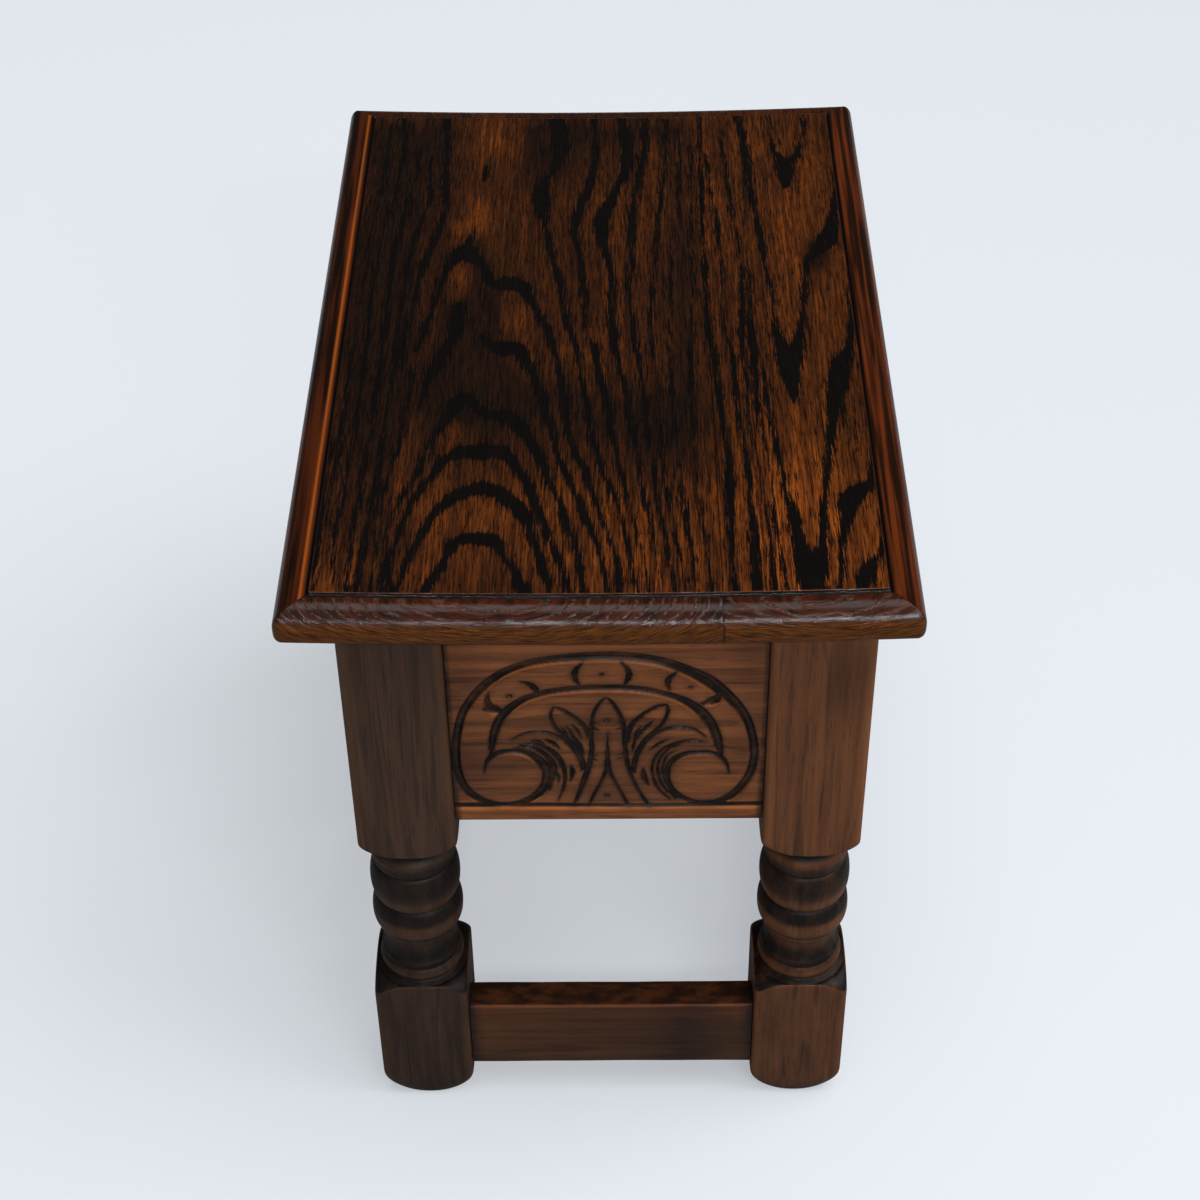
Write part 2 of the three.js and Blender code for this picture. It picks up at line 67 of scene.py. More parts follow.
HALF_LENGTH, FRAME_FRONT, FRAME_BACK = 207.0, -125.8, 132.1
MIDDLE = (FRAME_FRONT + FRAME_BACK) / 2
HALF_WIDTH = (FRAME_BACK - FRAME_FRONT) / 2
LEG_SIDE, LEG_HEIGHT, TOP_BLOCK, FOOT_BLOCK = 51.0, 368.0, 156.0, 86.5
RAIL_SETBACK, RAIL_HEIGHT, RAIL_THICK = 4.0, 144.0, 19.0
RAIL_LOW = LEG_HEIGHT - RAIL_HEIGHT
RAIL_LINE_HEIGHT, RAIL_ROUND = 10.4, 1.2
STRETCHER_ROUND = 1.8
GAP = 0.3
SHARP_ANGLE = 62.0

# The growth rings of the lid's end grain, in metres.
RING_PITCH = 0.0023
RING_CENTRE_HEIGHT = 0.56
RING_CENTRE_FRONT, RING_CENTRE_STEP = -0.05, 0.15


def srgb(red, green, blue):
    """A colour written as 0 to 255, as the linear colour that nodes take."""
    steps = [c / 255 for c in (red, green, blue)]
    return tuple(c / 12.92 if c <= 0.04045 else ((c + 0.055) / 1.055) ** 2.4 for c in steps) + (1.0,)


# Materials


class Paint:
    """A new material's or world's nodes, and short ways to add them."""

    def __init__(self, owner, output="ShaderNodeOutputMaterial", place="Object"):
        self.owner = owner
        self.owner.use_nodes = True
        self.tree = self.owner.node_tree
        self.tree.nodes.clear()
        self.output = output
        self.place = self.add("ShaderNodeTexCoord").outputs[place]

    def add(self, kind, inputs=None, **settings):
        node = self.tree.nodes.new(kind)
        for key, value in settings.items():
            setattr(node, key, value)
        for key, value in (inputs or {}).items():
            if isinstance(value, bpy.types.NodeSocket):
                self.tree.links.new(value, node.inputs[key])
            else:
                node.inputs[key].default_value = value
        return node

    def math(self, operation, first, second=0.0, third=0.0, clamp=False):
        inputs = {0: first, 1: second}
        if operation in ("MULTIPLY_ADD", "SMOOTH_MIN", "COMPARE"):
            inputs[2] = third
        return self.add("ShaderNodeMath", inputs, operation=operation, use_clamp=clamp).outputs[0]

    def scaled(self, scale, source=None):
        inputs = {"Vector": source or self.place, "Scale": scale}
        return self.add("ShaderNodeMapping", inputs).outputs["Vector"]

    def noise(self, scale, detail=3.0, rough=0.5, bend=0.0, source=None):
        inputs = {"Vector": self.scaled(scale, source), "Scale": 1.0, "Detail": detail, "Roughness": rough}
        inputs["Distortion"] = bend
        return self.add("ShaderNodeTexNoise", inputs).outputs["Fac"]

    def ease(self, value, low, high, out_low=0.0, out_high=1.0):
        inputs = {"Value": value, "From Min": low, "From Max": high, "To Min": out_low, "To Max": out_high}
        return self.add("ShaderNodeMapRange", inputs, interpolation_type="SMOOTHSTEP").outputs["Result"]

    def mix(self, share, first, second, blend="MIX"):
        node = self.add("ShaderNodeMix", {0: share, 6: first, 7: second}, data_type="RGBA", blend_type=blend)
        return node.outputs[2]

    def value(self, name):
        return self.add("ShaderNodeAttribute", attribute_name=name).outputs["Fac"]

    def bump(self, height, distance, before=None):
        inputs = {"Height": height, "Strength": 1.0, "Distance": distance}
        if before is not None:
            inputs["Normal"] = before
        return self.add("ShaderNodeBump", inputs).outputs["Normal"]

    def finish(self, **inputs):
        names = {key.replace("_", " "): value for key, value in inputs.items()}
        return self.cover(self.add("ShaderNodeBsdfPrincipled", names))

    def cover(self, shader):
        self.tree.links.new(shader.outputs[0], self.add(self.output).inputs[0])
        return self.owner


def along(axis, across, length):
    """Noise scales with the grain along an axis: fine across it and long along it."""
    return tuple(length if index == axis else across for index in range(3))


def oak(name, axis, pale, deep, rubbed_and_lit, shine=0.42):
    """Waxed oak with its grain along an axis, darker where there is old wax and where shade is painted on,
    and paler where it is worn and where light is painted on.
    """
    p = Paint(bpy.data.materials.new(name))
    broad = p.noise(along(axis, 22, 7), 2.0, 0.5, 0.6)
    streak = p.noise(along(axis, 240, 8), 4.0, 0.6, 0.3)
    band = p.noise(along(axis, 45, 6.0), 3.0, 0.55, 1.5)
    pore = p.noise(along(axis, 1500, 60), 2.0, 0.6)
    tone = p.math("ADD", p.math("MULTIPLY", streak, 0.6), p.math("MULTIPLY", band, 0.4))
    colour = p.mix(p.ease(tone, 0.28, 0.72), deep, pale)
    colour = p.mix(p.ease(broad, 0.5, 0.72, 0.0, 0.45), colour, srgb(38, 25, 18))
    vein = p.ease(p.noise(along(axis, 110, 7.0), 2.0, 0.5, 1.6), 0.56, 0.65, 0.0, 0.45)
    colour = p.mix(vein, colour, srgb(30, 20, 15))
    colour = p.mix(p.ease(pore, 0.58, 0.68, 0.0, 0.45), colour, srgb(26, 17, 13))
    # Paler where the wood is rubbed, and where light is painted on lit lips, edges and the beads' lower
    # sides.
    colour = p.mix(p.math("MULTIPLY", p.value("wear_and_light"), 0.8), colour, rubbed_and_lit)
    # Darker with old wax and dirt, and with painted shade in grooves, gaps and under the box.
    patchy = p.ease(p.noise(along(axis, 140, 60), 4.0, 0.65), 0.35, 0.62, 0.66, 1.0)
    free_of_dirt_and_shade = p.math("SUBTRACT", 1.0, p.math("MULTIPLY", p.value("dirt_and_shade"), patchy), clamp=True)
    colour = p.mix(p.math("POWER", free_of_dirt_and_shade, 1.7), srgb(15, 10, 8), colour)
    height = p.math("ADD", p.math("MULTIPLY", pore, 0.5), streak)
    rough = p.ease(tone, 0.3, 0.7, shine + 0.12, shine)
    normal = p.bump(height, 0.0002, p.bump(broad, 0.0010))
    return p.finish(Base_Color=colour, Roughness=rough, Normal=normal, Specular_IOR_Level=0.2)


def lid_oak(name):
    """The lid's polished oak: dark bands in an orange-brown ground, and end grain on the moulding."""
    p = Paint(bpy.data.materials.new(name))
    fibre = p.ease(p.noise((60, 900, 900), 4.0, 0.7), 0.3, 0.7)
    drift = p.ease(p.noise((24, 200, 200), 3.0, 0.55), 0.3, 0.7)
    slow = p.noise((5, 30, 30), 2.0, 0.5)
    pores = p.noise((80, 1500, 1500), 2.0, 0.7)
    hair = p.ease(p.noise((150, 1500, 1500), 3.0, 0.7), 0.3, 0.7)
    edge = p.math("MULTIPLY_ADD", p.math("SUBTRACT", fibre, 0.5), 2.4, p.value("figure"))
    edge = p.math("MULTIPLY_ADD", p.math("SUBTRACT", hair, 0.5), 1.6, edge)
    edge = p.math("MULTIPLY_ADD", p.math("SUBTRACT", drift, 0.5), 1.8, edge)
    ground = p.ease(edge, -0.7, 0.9)
    vivid = p.mix(fibre, srgb(66, 29, 7), srgb(144, 74, 22))
    streaks = p.ease(p.noise((9, 230, 230), 4.0, 0.6), 0.42, 0.6)
    vivid = p.mix(p.math("MULTIPLY", streaks, 0.6), vivid, srgb(38, 18, 8))
    brown = p.mix(fibre, srgb(11, 7, 5), srgb(36, 19, 9))
    # The ground is browned down partly as the wood's own tone and partly as painted shade, lightest at the
    # near right and darkest towards the far left.
    tone_and_shade = p.math("MULTIPLY_ADD", p.math("SUBTRACT", slow, 0.5), 0.5, p.value("tone_and_shade"), clamp=True)
    vivid = p.mix(tone_and_shade, vivid, brown)
    black = p.mix(fibre, srgb(5, 4, 4), srgb(15, 10, 8))
    top = p.mix(ground, black, vivid)
    dash = p.ease(p.math("SUBTRACT", pores, p.ease(edge, 0.0, 14.0, 0.0, 0.1)), 0.52, 0.6, 0.0, 0.85)
    top = p.mix(dash, top, srgb(7, 5, 5))
    side = p.mix(p.ease(p.noise((7, 260, 160), 4.0, 0.6), 0.4, 0.62), srgb(26, 11, 4), srgb(86, 37, 12))
    ridge, fine = end_grain(p)
    end = p.mix(fine, srgb(24, 10, 5), srgb(62, 25, 9))
    smudge = p.ease(p.noise((20, 45, 20), 2.0, 0.5), 0.5, 0.7, 0.0, 0.6)
    end = p.mix(smudge, end, srgb(18, 11, 8))
    # Partly lighter growth rings and partly a painted sheen: the ring ridges are mixed towards a pale
    # grey-pink.
    end = p.mix(p.math("MULTIPLY", ridge, 0.3), end, srgb(104, 70, 54))
    # Painted light: below the crest the end's face is made lighter and warmer.
    end = p.mix(p.value("low"), end, p.mix(fine, srgb(42, 21, 5), srgb(110, 62, 20)))
    rim = p.mix(p.value("end"), side, end)
    rim = p.mix(p.value("glow"), rim, srgb(168, 86, 28))
    colour = p.mix(p.value("rim"), top, rim)
    colour = p.mix(p.math("MULTIPLY", p.value("dirt_and_shade"), 0.97), colour, srgb(5, 5, 5))
    relief = p.math("MULTIPLY", pores, p.ease(p.value("figure"), -2.0, 8.0, 1.0, 0.35))
    grained = p.math("MULTIPLY_ADD", ridge, 0.8, p.math("MULTIPLY", fine, 0.15))
    relief = p.math("MULTIPLY_ADD", p.value("end"), grained, relief)
    normal = p.bump(relief, 0.0002, p.bump(slow, 0.0016))
    polish = p.ease(p.value("low"), 0.0, 1.0, 0.7, 0.15)
    return p.finish(
        Base_Color=colour, Roughness=p.ease(fibre, 0.2, 0.8, 0.36, 0.28), Normal=normal,
        Specular_IOR_Level=0.06, Coat_Weight=polish, Coat_Roughness=0.06, Coat_Normal=normal)


def end_grain(p):
    """Growth rings about a centre above each of the lid's boards: broken ridges and finer lines."""
    split = p.add("ShaderNodeSeparateXYZ", {0: p.place})
    x, y, z = (split.outputs[index] for index in range(3))
    on_back_board = p.math("GREATER_THAN", y, JOINT_Y * MM)
    centre = p.math("MULTIPLY_ADD", on_back_board, RING_CENTRE_STEP, RING_CENTRE_FRONT)
    across = p.math("SUBTRACT", y, centre)
    down = p.math("SUBTRACT", RING_CENTRE_HEIGHT, z)
    reach = p.math("MULTIPLY_ADD", across, across, p.math("MULTIPLY", down, down))
    wobble = p.math("MULTIPLY", p.noise((30, 50, 60), 3.0, 0.5), 0.004)
    reach = p.math("ADD", p.math("SQRT", reach), wobble)
    ridge = p.ease(p.math("SINE", p.math("MULTIPLY", reach, 2 * math.pi / RING_PITCH)), 0.45, 1.0)
    broken = p.ease(p.noise((700, 350, 700), 3.0, 0.6), 0.42, 0.6)
    ringed_place = p.add("ShaderNodeCombineXYZ", {0: reach, 1: y, 2: x}).outputs[0]
    fine = p.ease(p.noise((2300, 110, 60), 3.0, 0.6, 0.0, ringed_place), 0.32, 0.68)
    return p.math("MULTIPLY", ridge, broken), fine


def plain_oak(name, axis):
    """Dry unfinished oak for the inside of the box."""
    p = Paint(bpy.data.materials.new(name))
    streak = p.noise(along(axis, 240, 6), 4.0, 0.6, 0.4)
    pore = p.noise(along(axis, 1400, 50), 2.0, 0.6)
    colour = p.mix(p.ease(streak, 0.35, 0.65), srgb(104, 74, 48), srgb(150, 113, 76))
    colour = p.mix(p.ease(pore, 0.6, 0.72, 0.0, 0.5), colour, srgb(62, 43, 29))
    colour = p.mix(p.ease(p.noise((9, 9, 9), 2.0), 0.45, 0.75, 0.0, 0.4), colour, srgb(78, 56, 38))
    return p.finish(Base_Color=colour, Roughness=0.75, Normal=p.bump(streak, 0.0004))


def metal(name, bright, dull, rough):
    """Aged metal with tarnish in patches."""
    p = Paint(bpy.data.materials.new(name))
    patch = p.noise((300, 300, 300), 3.0, 0.6)
    colour = p.mix(p.ease(patch, 0.4, 0.65), bright, dull)
    return p.finish(
        Base_Color=colour, Metallic=1.0, Roughness=p.ease(patch, 0.3, 0.7, rough, rough + 0.2),
        Normal=p.bump(p.noise((900, 900, 900)), 0.00008))


# The rubbed colours are also the colours of painted light on lit lips, edges and the beads' lower sides.
FRONT_PALE, FRONT_DEEP, FRONT_RUBBED_AND_LIT = srgb(78, 54, 40), srgb(54, 38, 29), srgb(118, 80, 48)
BACK_PALE, BACK_DEEP, BACK_RUBBED_AND_LIT = srgb(120, 74, 44), srgb(86, 51, 31), srgb(146, 94, 56)
front_upright = oak("front_leg_oak", 2, FRONT_PALE, FRONT_DEEP, FRONT_RUBBED_AND_LIT)
back_upright = oak("back_leg_oak", 2, BACK_PALE, BACK_DEEP, BACK_RUBBED_AND_LIT)
BAR_PALE, BAR_DEEP, BAR_RUBBED_AND_LIT = srgb(86, 52, 30), srgb(50, 31, 18), srgb(150, 80, 30)
RAIL_PALE, RAIL_DEEP, RAIL_RUBBED_AND_LIT = srgb(156, 94, 54), srgb(98, 57, 33), srgb(186, 108, 52)
RAIL_SHINE = 0.38
oak_long = oak("stretcher_long_oak", 0, BAR_PALE, BAR_DEEP, BAR_RUBBED_AND_LIT)
oak_cross = oak("stretcher_cross_oak", 1, BAR_PALE, BAR_DEEP, BAR_RUBBED_AND_LIT)
carved_long = oak("carved_long_oak", 0, RAIL_PALE, RAIL_DEEP, RAIL_RUBBED_AND_LIT, RAIL_SHINE)
carved_cross = oak("carved_cross_oak", 1, RAIL_PALE, RAIL_DEEP, RAIL_RUBBED_AND_LIT, RAIL_SHINE)
lid_top = lid_oak("lid_oak")
inside_long = plain_oak("inside_long", 0)
inside_cross = plain_oak("inside_cross", 1)
brass = metal("aged_brass", srgb(166, 134, 78), srgb(96, 76, 46), 0.32)
steel = metal("dark_steel", srgb(120, 114, 106), srgb(66, 60, 54), 0.4)


# Making pieces


def smooth_step(value):
    value = np.clip(value, 0.0, 1.0)
    return value * value * (3.0 - 2.0 * value)


def make_mesh(name, points, faces, values=None):
    mesh = bpy.data.meshes.new(name)
    mesh.from_pydata((np.asarray(points) * MM).tolist(), [], faces)
    for key, column in (values or {}).items():
        layer = mesh.attributes.new(key, "FLOAT", "POINT")
        layer.data.foreach_set("value", np.asarray(column, dtype=np.float32))
    mesh.polygons.foreach_set("use_smooth", [True] * len(mesh.polygons))
    mesh.set_sharp_from_angle(angle=math.radians(SHARP_ANGLE))
    return mesh


def put_in_scene(name, data):
    placed = bpy.data.objects.new(name, data)
    bpy.context.scene.collection.objects.link(placed)
    return placed


def add_piece(name, mesh, material, body, slot, *replaced):
    mesh.materials.clear()
    mesh.materials.append(material)
    piece = put_in_scene(name, mesh)
    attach(piece, body)
    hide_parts(*replaced)
    return piece


def grid_faces(index):
    """Faces between the rows and columns of a grid of point numbers."""
    corners = [index[:-1, :-1], index[1:, :-1], index[1:, 1:], index[:-1, 1:]]
    return np.stack(corners, -1).reshape(-1, 4).tolist()


def grid_border(index):
    """The point numbers round the outside of a grid, each once."""
    return np.concatenate([index[:-1, 0], index[-1, :-1], index[:0:-1, -1], index[0, :0:-1]])


def tube_faces(count, around):
    """Faces round a stack of rings of points, closed at both ends."""
    index = np.arange(count * around).reshape(count, around)
    ahead = np.roll(index, -1, 1)
    quads = np.stack([index[:-1], ahead[:-1], ahead[1:], index[1:]], -1).reshape(-1, 4)
    return quads.tolist() + [index[0][::-1].tolist(), index[-1].tolist()]


def curve_through(points, step):
    """Points about a step apart on a smooth curve through the given ones, columns and all."""
    points = np.asarray(points, dtype=float)
    if len(points) == 2:
        return points
    padded = np.vstack([2 * points[0] - points[1], points, 2 * points[-1] - points[-2]])
    rows = []
    for a, b, c, d in zip(padded, padded[1:], padded[2:], padded[3:]):
        count = max(2, int(np.hypot(*(c - b)[:2]) / step))
        t = np.linspace(0, 1, count, endpoint=False)[:, None]
        rows.append(b + 0.5 * t * (c - a + t * (2 * a - 5 * b + 4 * c - d + t * (3 * (b - c) + d - a))))
    return np.vstack(rows + [points[-1:]])


def reach_from(places, line):
    """Each place's distance to a line, the line's third column there, and how far it lies above it."""
    best = np.full(len(places), 1e9)
    wide = np.ones(len(places))
    above = np.zeros(len(places))
    for (x0, y0, w0), (x1, y1, w1) in zip(line, line[1:]):
        dx, dy = x1 - x0, y1 - y0
        along_line = (places[:, 0] - x0) * dx + (places[:, 1] - y0) * dy
        t = np.clip(along_line / (dx * dx + dy * dy + 1e-9), 0, 1)
        off_x, off_y = places[:, 0] - x0 - t * dx, places[:, 1] - y0 - t * dy
        far = np.hypot(off_x, off_y)
        near = far < best
        best = np.where(near, far, best)
        wide = np.where(near, w0 + t * (w1 - w0), wide)
        above = np.where(near, off_y, above)
    return best, wide, above


# The lid's figure: each dark band as points across the lid, along it, and half its width there.
BANDS = [
    [(-80, 213, 3.6), (-77, 203, 3.4), (-73, 193, 3), (-71, 185, 3), (-67, 177, 3.6), (-60, 174, 5),
     (-53, 175, 5.2), (-48, 178, 3.6), (-45, 186, 2), (-41, 195, 2), (-37, 205, 2.4), (-34, 213, 2.6)],
    [(-93.5, 213, 1.8), (-91, 198, 1.8), (-88, 184, 2), (-83, 169, 2.4), (-79, 157, 3), (-75, 149, 3.8),
     (-69, 142, 4.6), (-62, 138, 5), (-55, 136, 5.2), (-48, 140, 5), (-43, 146, 4.6), (-38, 153, 4.6),
     (-34, 163, 3.6), (-32, 174, 3), (-29, 185, 2.6), (-26, 196, 2.2), (-23, 207, 2), (-22, 213, 2)],
    [(-96, 213, 1.6), (-98, 190, 1.6), (-94.5, 170, 1.6), (-91, 152, 1.8), (-87, 140, 2), (-83, 130, 2.4),
     (-79, 121, 3), (-74, 113, 4), (-67, 108, 5.8), (-58, 108, 6.6), (-50, 108, 6.4), (-44, 113, 4),
     (-40, 121, 3), (-36, 130, 2.8), (-33, 140, 2.6), (-30, 150, 2.4), (-27, 160, 2.2), (-24, 170, 2.2),
     (-22, 180, 2.2), (-19, 190, 2.4), (-16, 202, 1.8), (-14, 213, 1.8)],
    [(-99.5, 213, 1.4), (-101, 187, 1.3), (-100, 165, 1.2), (-97, 151, 1.2), (-93, 138, 1.2),
     (-88, 120, 1.8), (-86, 108, 2), (-83, 98, 2.6), (-79, 88, 3), (-76, 78, 3.4), (-72, 68, 4.6),
     (-68, 62, 3), (-62, 72, 3.6), (-55, 78, 5), (-46, 79, 4.6), (-41, 86, 4.4), (-37, 94, 3.6),
     (-33, 102, 3), (-30, 112, 2.8), (-26, 122, 2.4), (-24, 132, 2.6), (-21, 142, 2.4), (-18, 152, 2.6),
     (-16, 162, 2.8), (-13, 172, 2.4), (-11, 182, 2), (-9, 196, 2), (-7, 213, 2.4)],
    [(-62, 10, 2), (-57, 17, 4), (-50, 21, 7), (-43, 21, 5), (-39, 30, 3.6), (-35, 42, 2.8),
     (-31, 55, 2.6), (-28, 66, 3), (-26, 80, 3), (-23, 95, 2.4), (-21, 108, 2.2), (-18, 120, 2.2),
     (-15, 130, 2.4), (-12, 140, 2.2), (-9, 150, 2.4), (-6, 160, 2.4), (-3, 170, 2), (-1, 179, 1.8),
     (1, 190, 1.6), (3, 202, 1.4), (4, 213, 1.4)],
    [(-124, -205, .9), (-123.5, -160, 1), (-124.5, -120, .8), (-127, -85, .9), (-127, -40, .8)],
    [(-118, -215, 1.2), (-114.5, -190, 1.4), (-114, -170, 1.4), (-117, -125, 1.3), (-120, -80, 1.2),
     (-122, -40, 1.2), (-121.5, 20, 1.3), (-121.5, 60, 1.2), (-122, 92, 1.1), (-123, 150, 1.2),
     (-124.5, 180, 1.4), (-122.5, 209, 1.2)],
    [(-104, -178, 1), (-105, -160, 1.4), (-107, -135, 1.3), (-110, -100, 1.7), (-112, -84, 2),
     (-113, -50, 1.5), (-113, 0, 1.4), (-114, 86, 1.2), (-115, 130, 1.1), (-116.5, 165, 1.3),
     (-116, 195, 1.3), (-114.5, 213, 1.2)],
    [(-111, 182, .8), (-112, 200, 1.4), (-111.5, 213, 1.4)],
    [(-98.5, -175, 1), (-97.5, -145, 1.3), (-96, -127, 1.3), (-98, -112, 1.2), (-101, -92, 1.3),
     (-104, -58, 1.2), (-105.5, -20, 1.3), (-105.5, 30, 1.3), (-106.5, 80, 1.2), (-107.5, 115, 1),
     (-109, 150, 1.2), (-110.5, 190, 1.1)],
    [(-97, 40, 1.4), (-97, 70, 1.8), (-98.5, 98, 1.7), (-101.5, 120, 1.4), (-104.5, 148, 1.4),
     (-105.5, 170, 1.2), (-104.5, 190, 1.4), (-105, 213, 1.3)],
    [(-132.5, 90, .8), (-133, 140, 1.5), (-132.5, 175, 1.5), (-133, 213, 1.2)],
    [(-128, 20, .8), (-128.5, 70, 1), (-129, 120, .8), (-129.5, 165, .8)],
    [(-66, -159, .8), (-65.5, -150, 1.6), (-65.5, -142, .8)],
    [(-75, -18, 4), (-75, 0, 4.4), (-78, 14, 3.4), (-82, 28, 3.8), (-86, 42, 4.2), (-89, 56, 2.6),
     (-91, 72, 1.6)],
    [(-70, -92, 1), (-72, -80, 3), (-73, -68, 6.5), (-66, -60, 4), (-61, -46, 2.6), (-57, -38, 4.4),
     (-50, -39, 7.5), (-43, -36, 5.5), (-39, -28, 3), (-34, -17, 2.6), (-30, -4, 2.4), (-27, 8, 2.2),
     (-24, 20, 2.2), (-21.5, 32, 2), (-20, 44, 1.8), (-18.5, 58, 2.2), (-17, 74, 2.2), (-15.5, 92, 1.8),
     (-13, 106, 2), (-9, 117, 2.2), (-6, 127, 2), (-4, 138, 1.8), (-1, 149, 1.4), (1, 160, 1.2),
     (4, 172, 1.4), (7, 184, 1.4), (9, 198, 1.2), (10, 213, 1.2)],
    [(-78, -68, 4.4), (-82, -56, 2.8), (-84.5, -48, 2.2), (-86.5, -34, 2.2), (-89, -16, 2.4),
     (-92.5, 5, 2), (-95, 22, 1.6)],
    [(-91, -216, 1.5), (-90.5, -187, 1.6), (-89, -159, 2.3), (-88, -137, 2.4), (-87, -116, 2),
     (-90.5, -87, 2.3), (-93.5, -73, 2), (-96, -59, 1.9), (-97.5, -45, 1.6), (-99.5, -16, 1.4),
     (-102, 10, 1.3), (-102, 40, .9)],
    [(-27, -216, 4.5), (-24, -192, 5.5), (-23, -174, 4.5), (-27, -156, 2), (-32, -141, 3),
     (-34, -125, 5.5), (-33, -112, 4), (-31, -98, 2), (-28, -80, 2), (-25, -60, 2), (-22, -40, 2),
     (-19.5, -20, 2), (-17.5, 0, 1.6), (-14, 10, 1.4), (-12.5, 22, 1.6), (-11, 34, 1.4), (-9, 50, 1.8),
     (-6.5, 64, 2), (-5, 78, 2), (-4, 92, 2), (-2, 104, 2), (0, 114, 1.8), (2, 124, 1.6), (5, 136, 1.8),
     (8.5, 147, 1.6), (10.5, 160, 1.2), (13, 174, 1.2), (15, 190, 1.2), (17, 213, 1.2)],
    [(-4, -216, 1.6), (-3, -165, 2), (-6, -138, 2.6), (-10, -122, 3), (-13, -106, 3), (-14, -90, 2.4),
     (-12.5, -74, 2.2), (-10, -54, 2.2), (-8, -28, 2), (-7.5, 0, 1.4), (-5, 12, 1.8), (-2.5, 24, 2),
     (-1.5, 38, 2), (1, 52, 2.4), (3.5, 66, 2.4), (5.5, 82, 2.2), (6.5, 98, 1.6), (9, 112, 1.4),
     (11, 126, 1.4), (13, 138, 1.4), (14.5, 150, 1.4), (17, 163, 1.4), (19, 176, 1.2), (21, 192, 1.2),
     (23, 213, 1.2)],
    [(12, -216, 3.4), (15, -186, 4), (15, -160, 3.8), (10, -137, 3), (5, -117, 4), (1, -103, 4.4),
     (1, -84, 4), (4, -64, 2.8), (6, -44, 2.4), (6, -20, 2.2), (6.5, 0, 2.4), (7.5, 12, 2.4), (9, 26, 2),
     (11, 40, 1.4), (13, 54, 2), (14.5, 68, 1.8), (15.5, 84, 1.4), (17, 100, 1.2), (19.5, 116, 1.2),
     (20.5, 132, 1.2), (22, 148, 1.4), (24.5, 162, 1.2), (26, 178, 1), (28, 194, 1), (30, 213, 1)],
    [(25, -216, 1.8), (26, -182, 2.2), (23, -150, 2.2), (20, -124, 2.2), (17.5, -102, 2.4),
     (17, -78, 2.2), (17, -54, 1.8), (16, -28, 1.6), (17, 0, 1.2), (18, 14, 1.3), (19.5, 28, 1.1),
     (21, 44, 1), (22, 60, 1.4), (23, 78, 1.4), (24.5, 98, 1.2), (26, 114, 1), (27, 132, 1),
     (28.5, 150, 1), (30.5, 168, 1), (32.5, 190, 1), (35, 213, 1)],
    [(39, -210, 1.4), (38, -165, 1.4), (35, -130, 1.4), (32, -96, 1.2), (29, -50, 1.1), (26, 0, 1.3),
     (27, 16, 1.4), (28.5, 34, 1), (29.5, 56, 1), (30, 90, .9), (32, 120, .8), (34, 150, .9),
     (37, 180, .8), (41, 213, .8)],
    [(46, -200, 1), (44, -120, 1), (38, -40, .9), (36, 30, .7), (38, 90, .8), (40, 140, .9),
     (43, 180, .8), (46, 213, .8)],
    [(52, -180, 1), (50, -60, .8), (48, 20, .8), (46, 70, 1), (47, 120, .8), (49.5, 165, .9),
     (52, 213, .9)],
    [(58, -216, 1), (57, -120, 1.2), (56, -30, 1.6), (57, 0, 2), (58.5, 20, 2), (60, 40, 1.6),
     (61, 60, 2.2), (62, 82, 1.4), (62.5, 104, 1.2), (63, 122, 1.4), (63.5, 134, 3), (63, 150, 1.5),
     (62.5, 170, 1.4), (62, 190, 1.4), (62.5, 213, 1.5)],
    [(61, -170, 1), (64, -110, 1.2), (66, -70, 1.4), (66, -30, 1.4), (65, 0, 1.6), (67, 15, 1.8),
     (69, 30, 1.8), (69, 50, 1.8), (69.5, 70, 1.8), (70, 90, 1.2), (71.5, 110, 1.1), (72.5, 130, 1.2),
     (72, 150, 1.8), (72.5, 165, 2.2), (73, 180, 1.8), (72.5, 195, 1.8), (73, 213, 1.9)],
    [(70, -190, .8), (73, -120, 1.1), (76, -70, 1.2), (76, -20, 1.2), (74, 5, 1.3), (74.5, 25, 1.4),
     (75, 45, 1), (75.5, 70, 1), (76, 95, 1), (77.5, 115, 1), (78.5, 135, .9), (79.5, 150, .9),
     (80, 170, .9), (80.5, 190, 1), (81, 213, 1.1)],
    [(80, -216, 1.8), (83, -186, 2), (84.5, -155, 2), (86, -118, 1.9), (88.5, -82, 1.8), (90, -50, 1.6),
     (92, -20, 1.6), (92, 0, 2), (93, 14, 3), (95, 28, 5), (96.5, 44, 5), (98, 58, 3.2), (98.6, 70, 1)],
    [(79.5, -60, 1.2), (79.5, -20, 1.6), (78.5, 0, 1.8), (79.5, 30, 1.9), (79.5, 60, 1.4), (80, 80, .9),
     (81.5, 100, .9), (82.5, 120, .9), (83.5, 140, .9), (84, 160, 1), (85, 180, 1.1), (86, 200, 1.3),
     (86.5, 213, 1.4)],
    [(84, 30, .8), (84.5, 50, 1.3), (84.5, 66, 1.3), (86, 90, 1.4), (87.5, 105, 1.8), (88.5, 120, 2),
     (89.5, 135, 1.8), (91, 150, 2.4), (92.5, 162, 3.4), (93.5, 175, 4), (95, 188, 4.6), (97, 200, 5.6),
     (99, 213, 6.6)],
    [(135, -142, 1.4), (132.5, -118, 2.4), (129, -97, 3), (125, -78, 6.5), (119, -66, 4), (114, -60, 2.6),
     (111, -45, 2.2), (108.7, -22, 2), (106, 0, 2), (103.5, 14, 3), (101.5, 28, 4), (100, 44, 4.2),
     (99, 58, 2.4)],
    [(134, -30, 1.4), (133, -8, 2), (131, 10, 2.2), (129, 24, 3), (124.5, 38, 6), (121, 54, 5.4),
     (118.5, 72, 4.6), (115.5, 90, 2.8), (113.5, 105, 2.6), (111.5, 120, 2.4), (109.5, 135, 2.3),
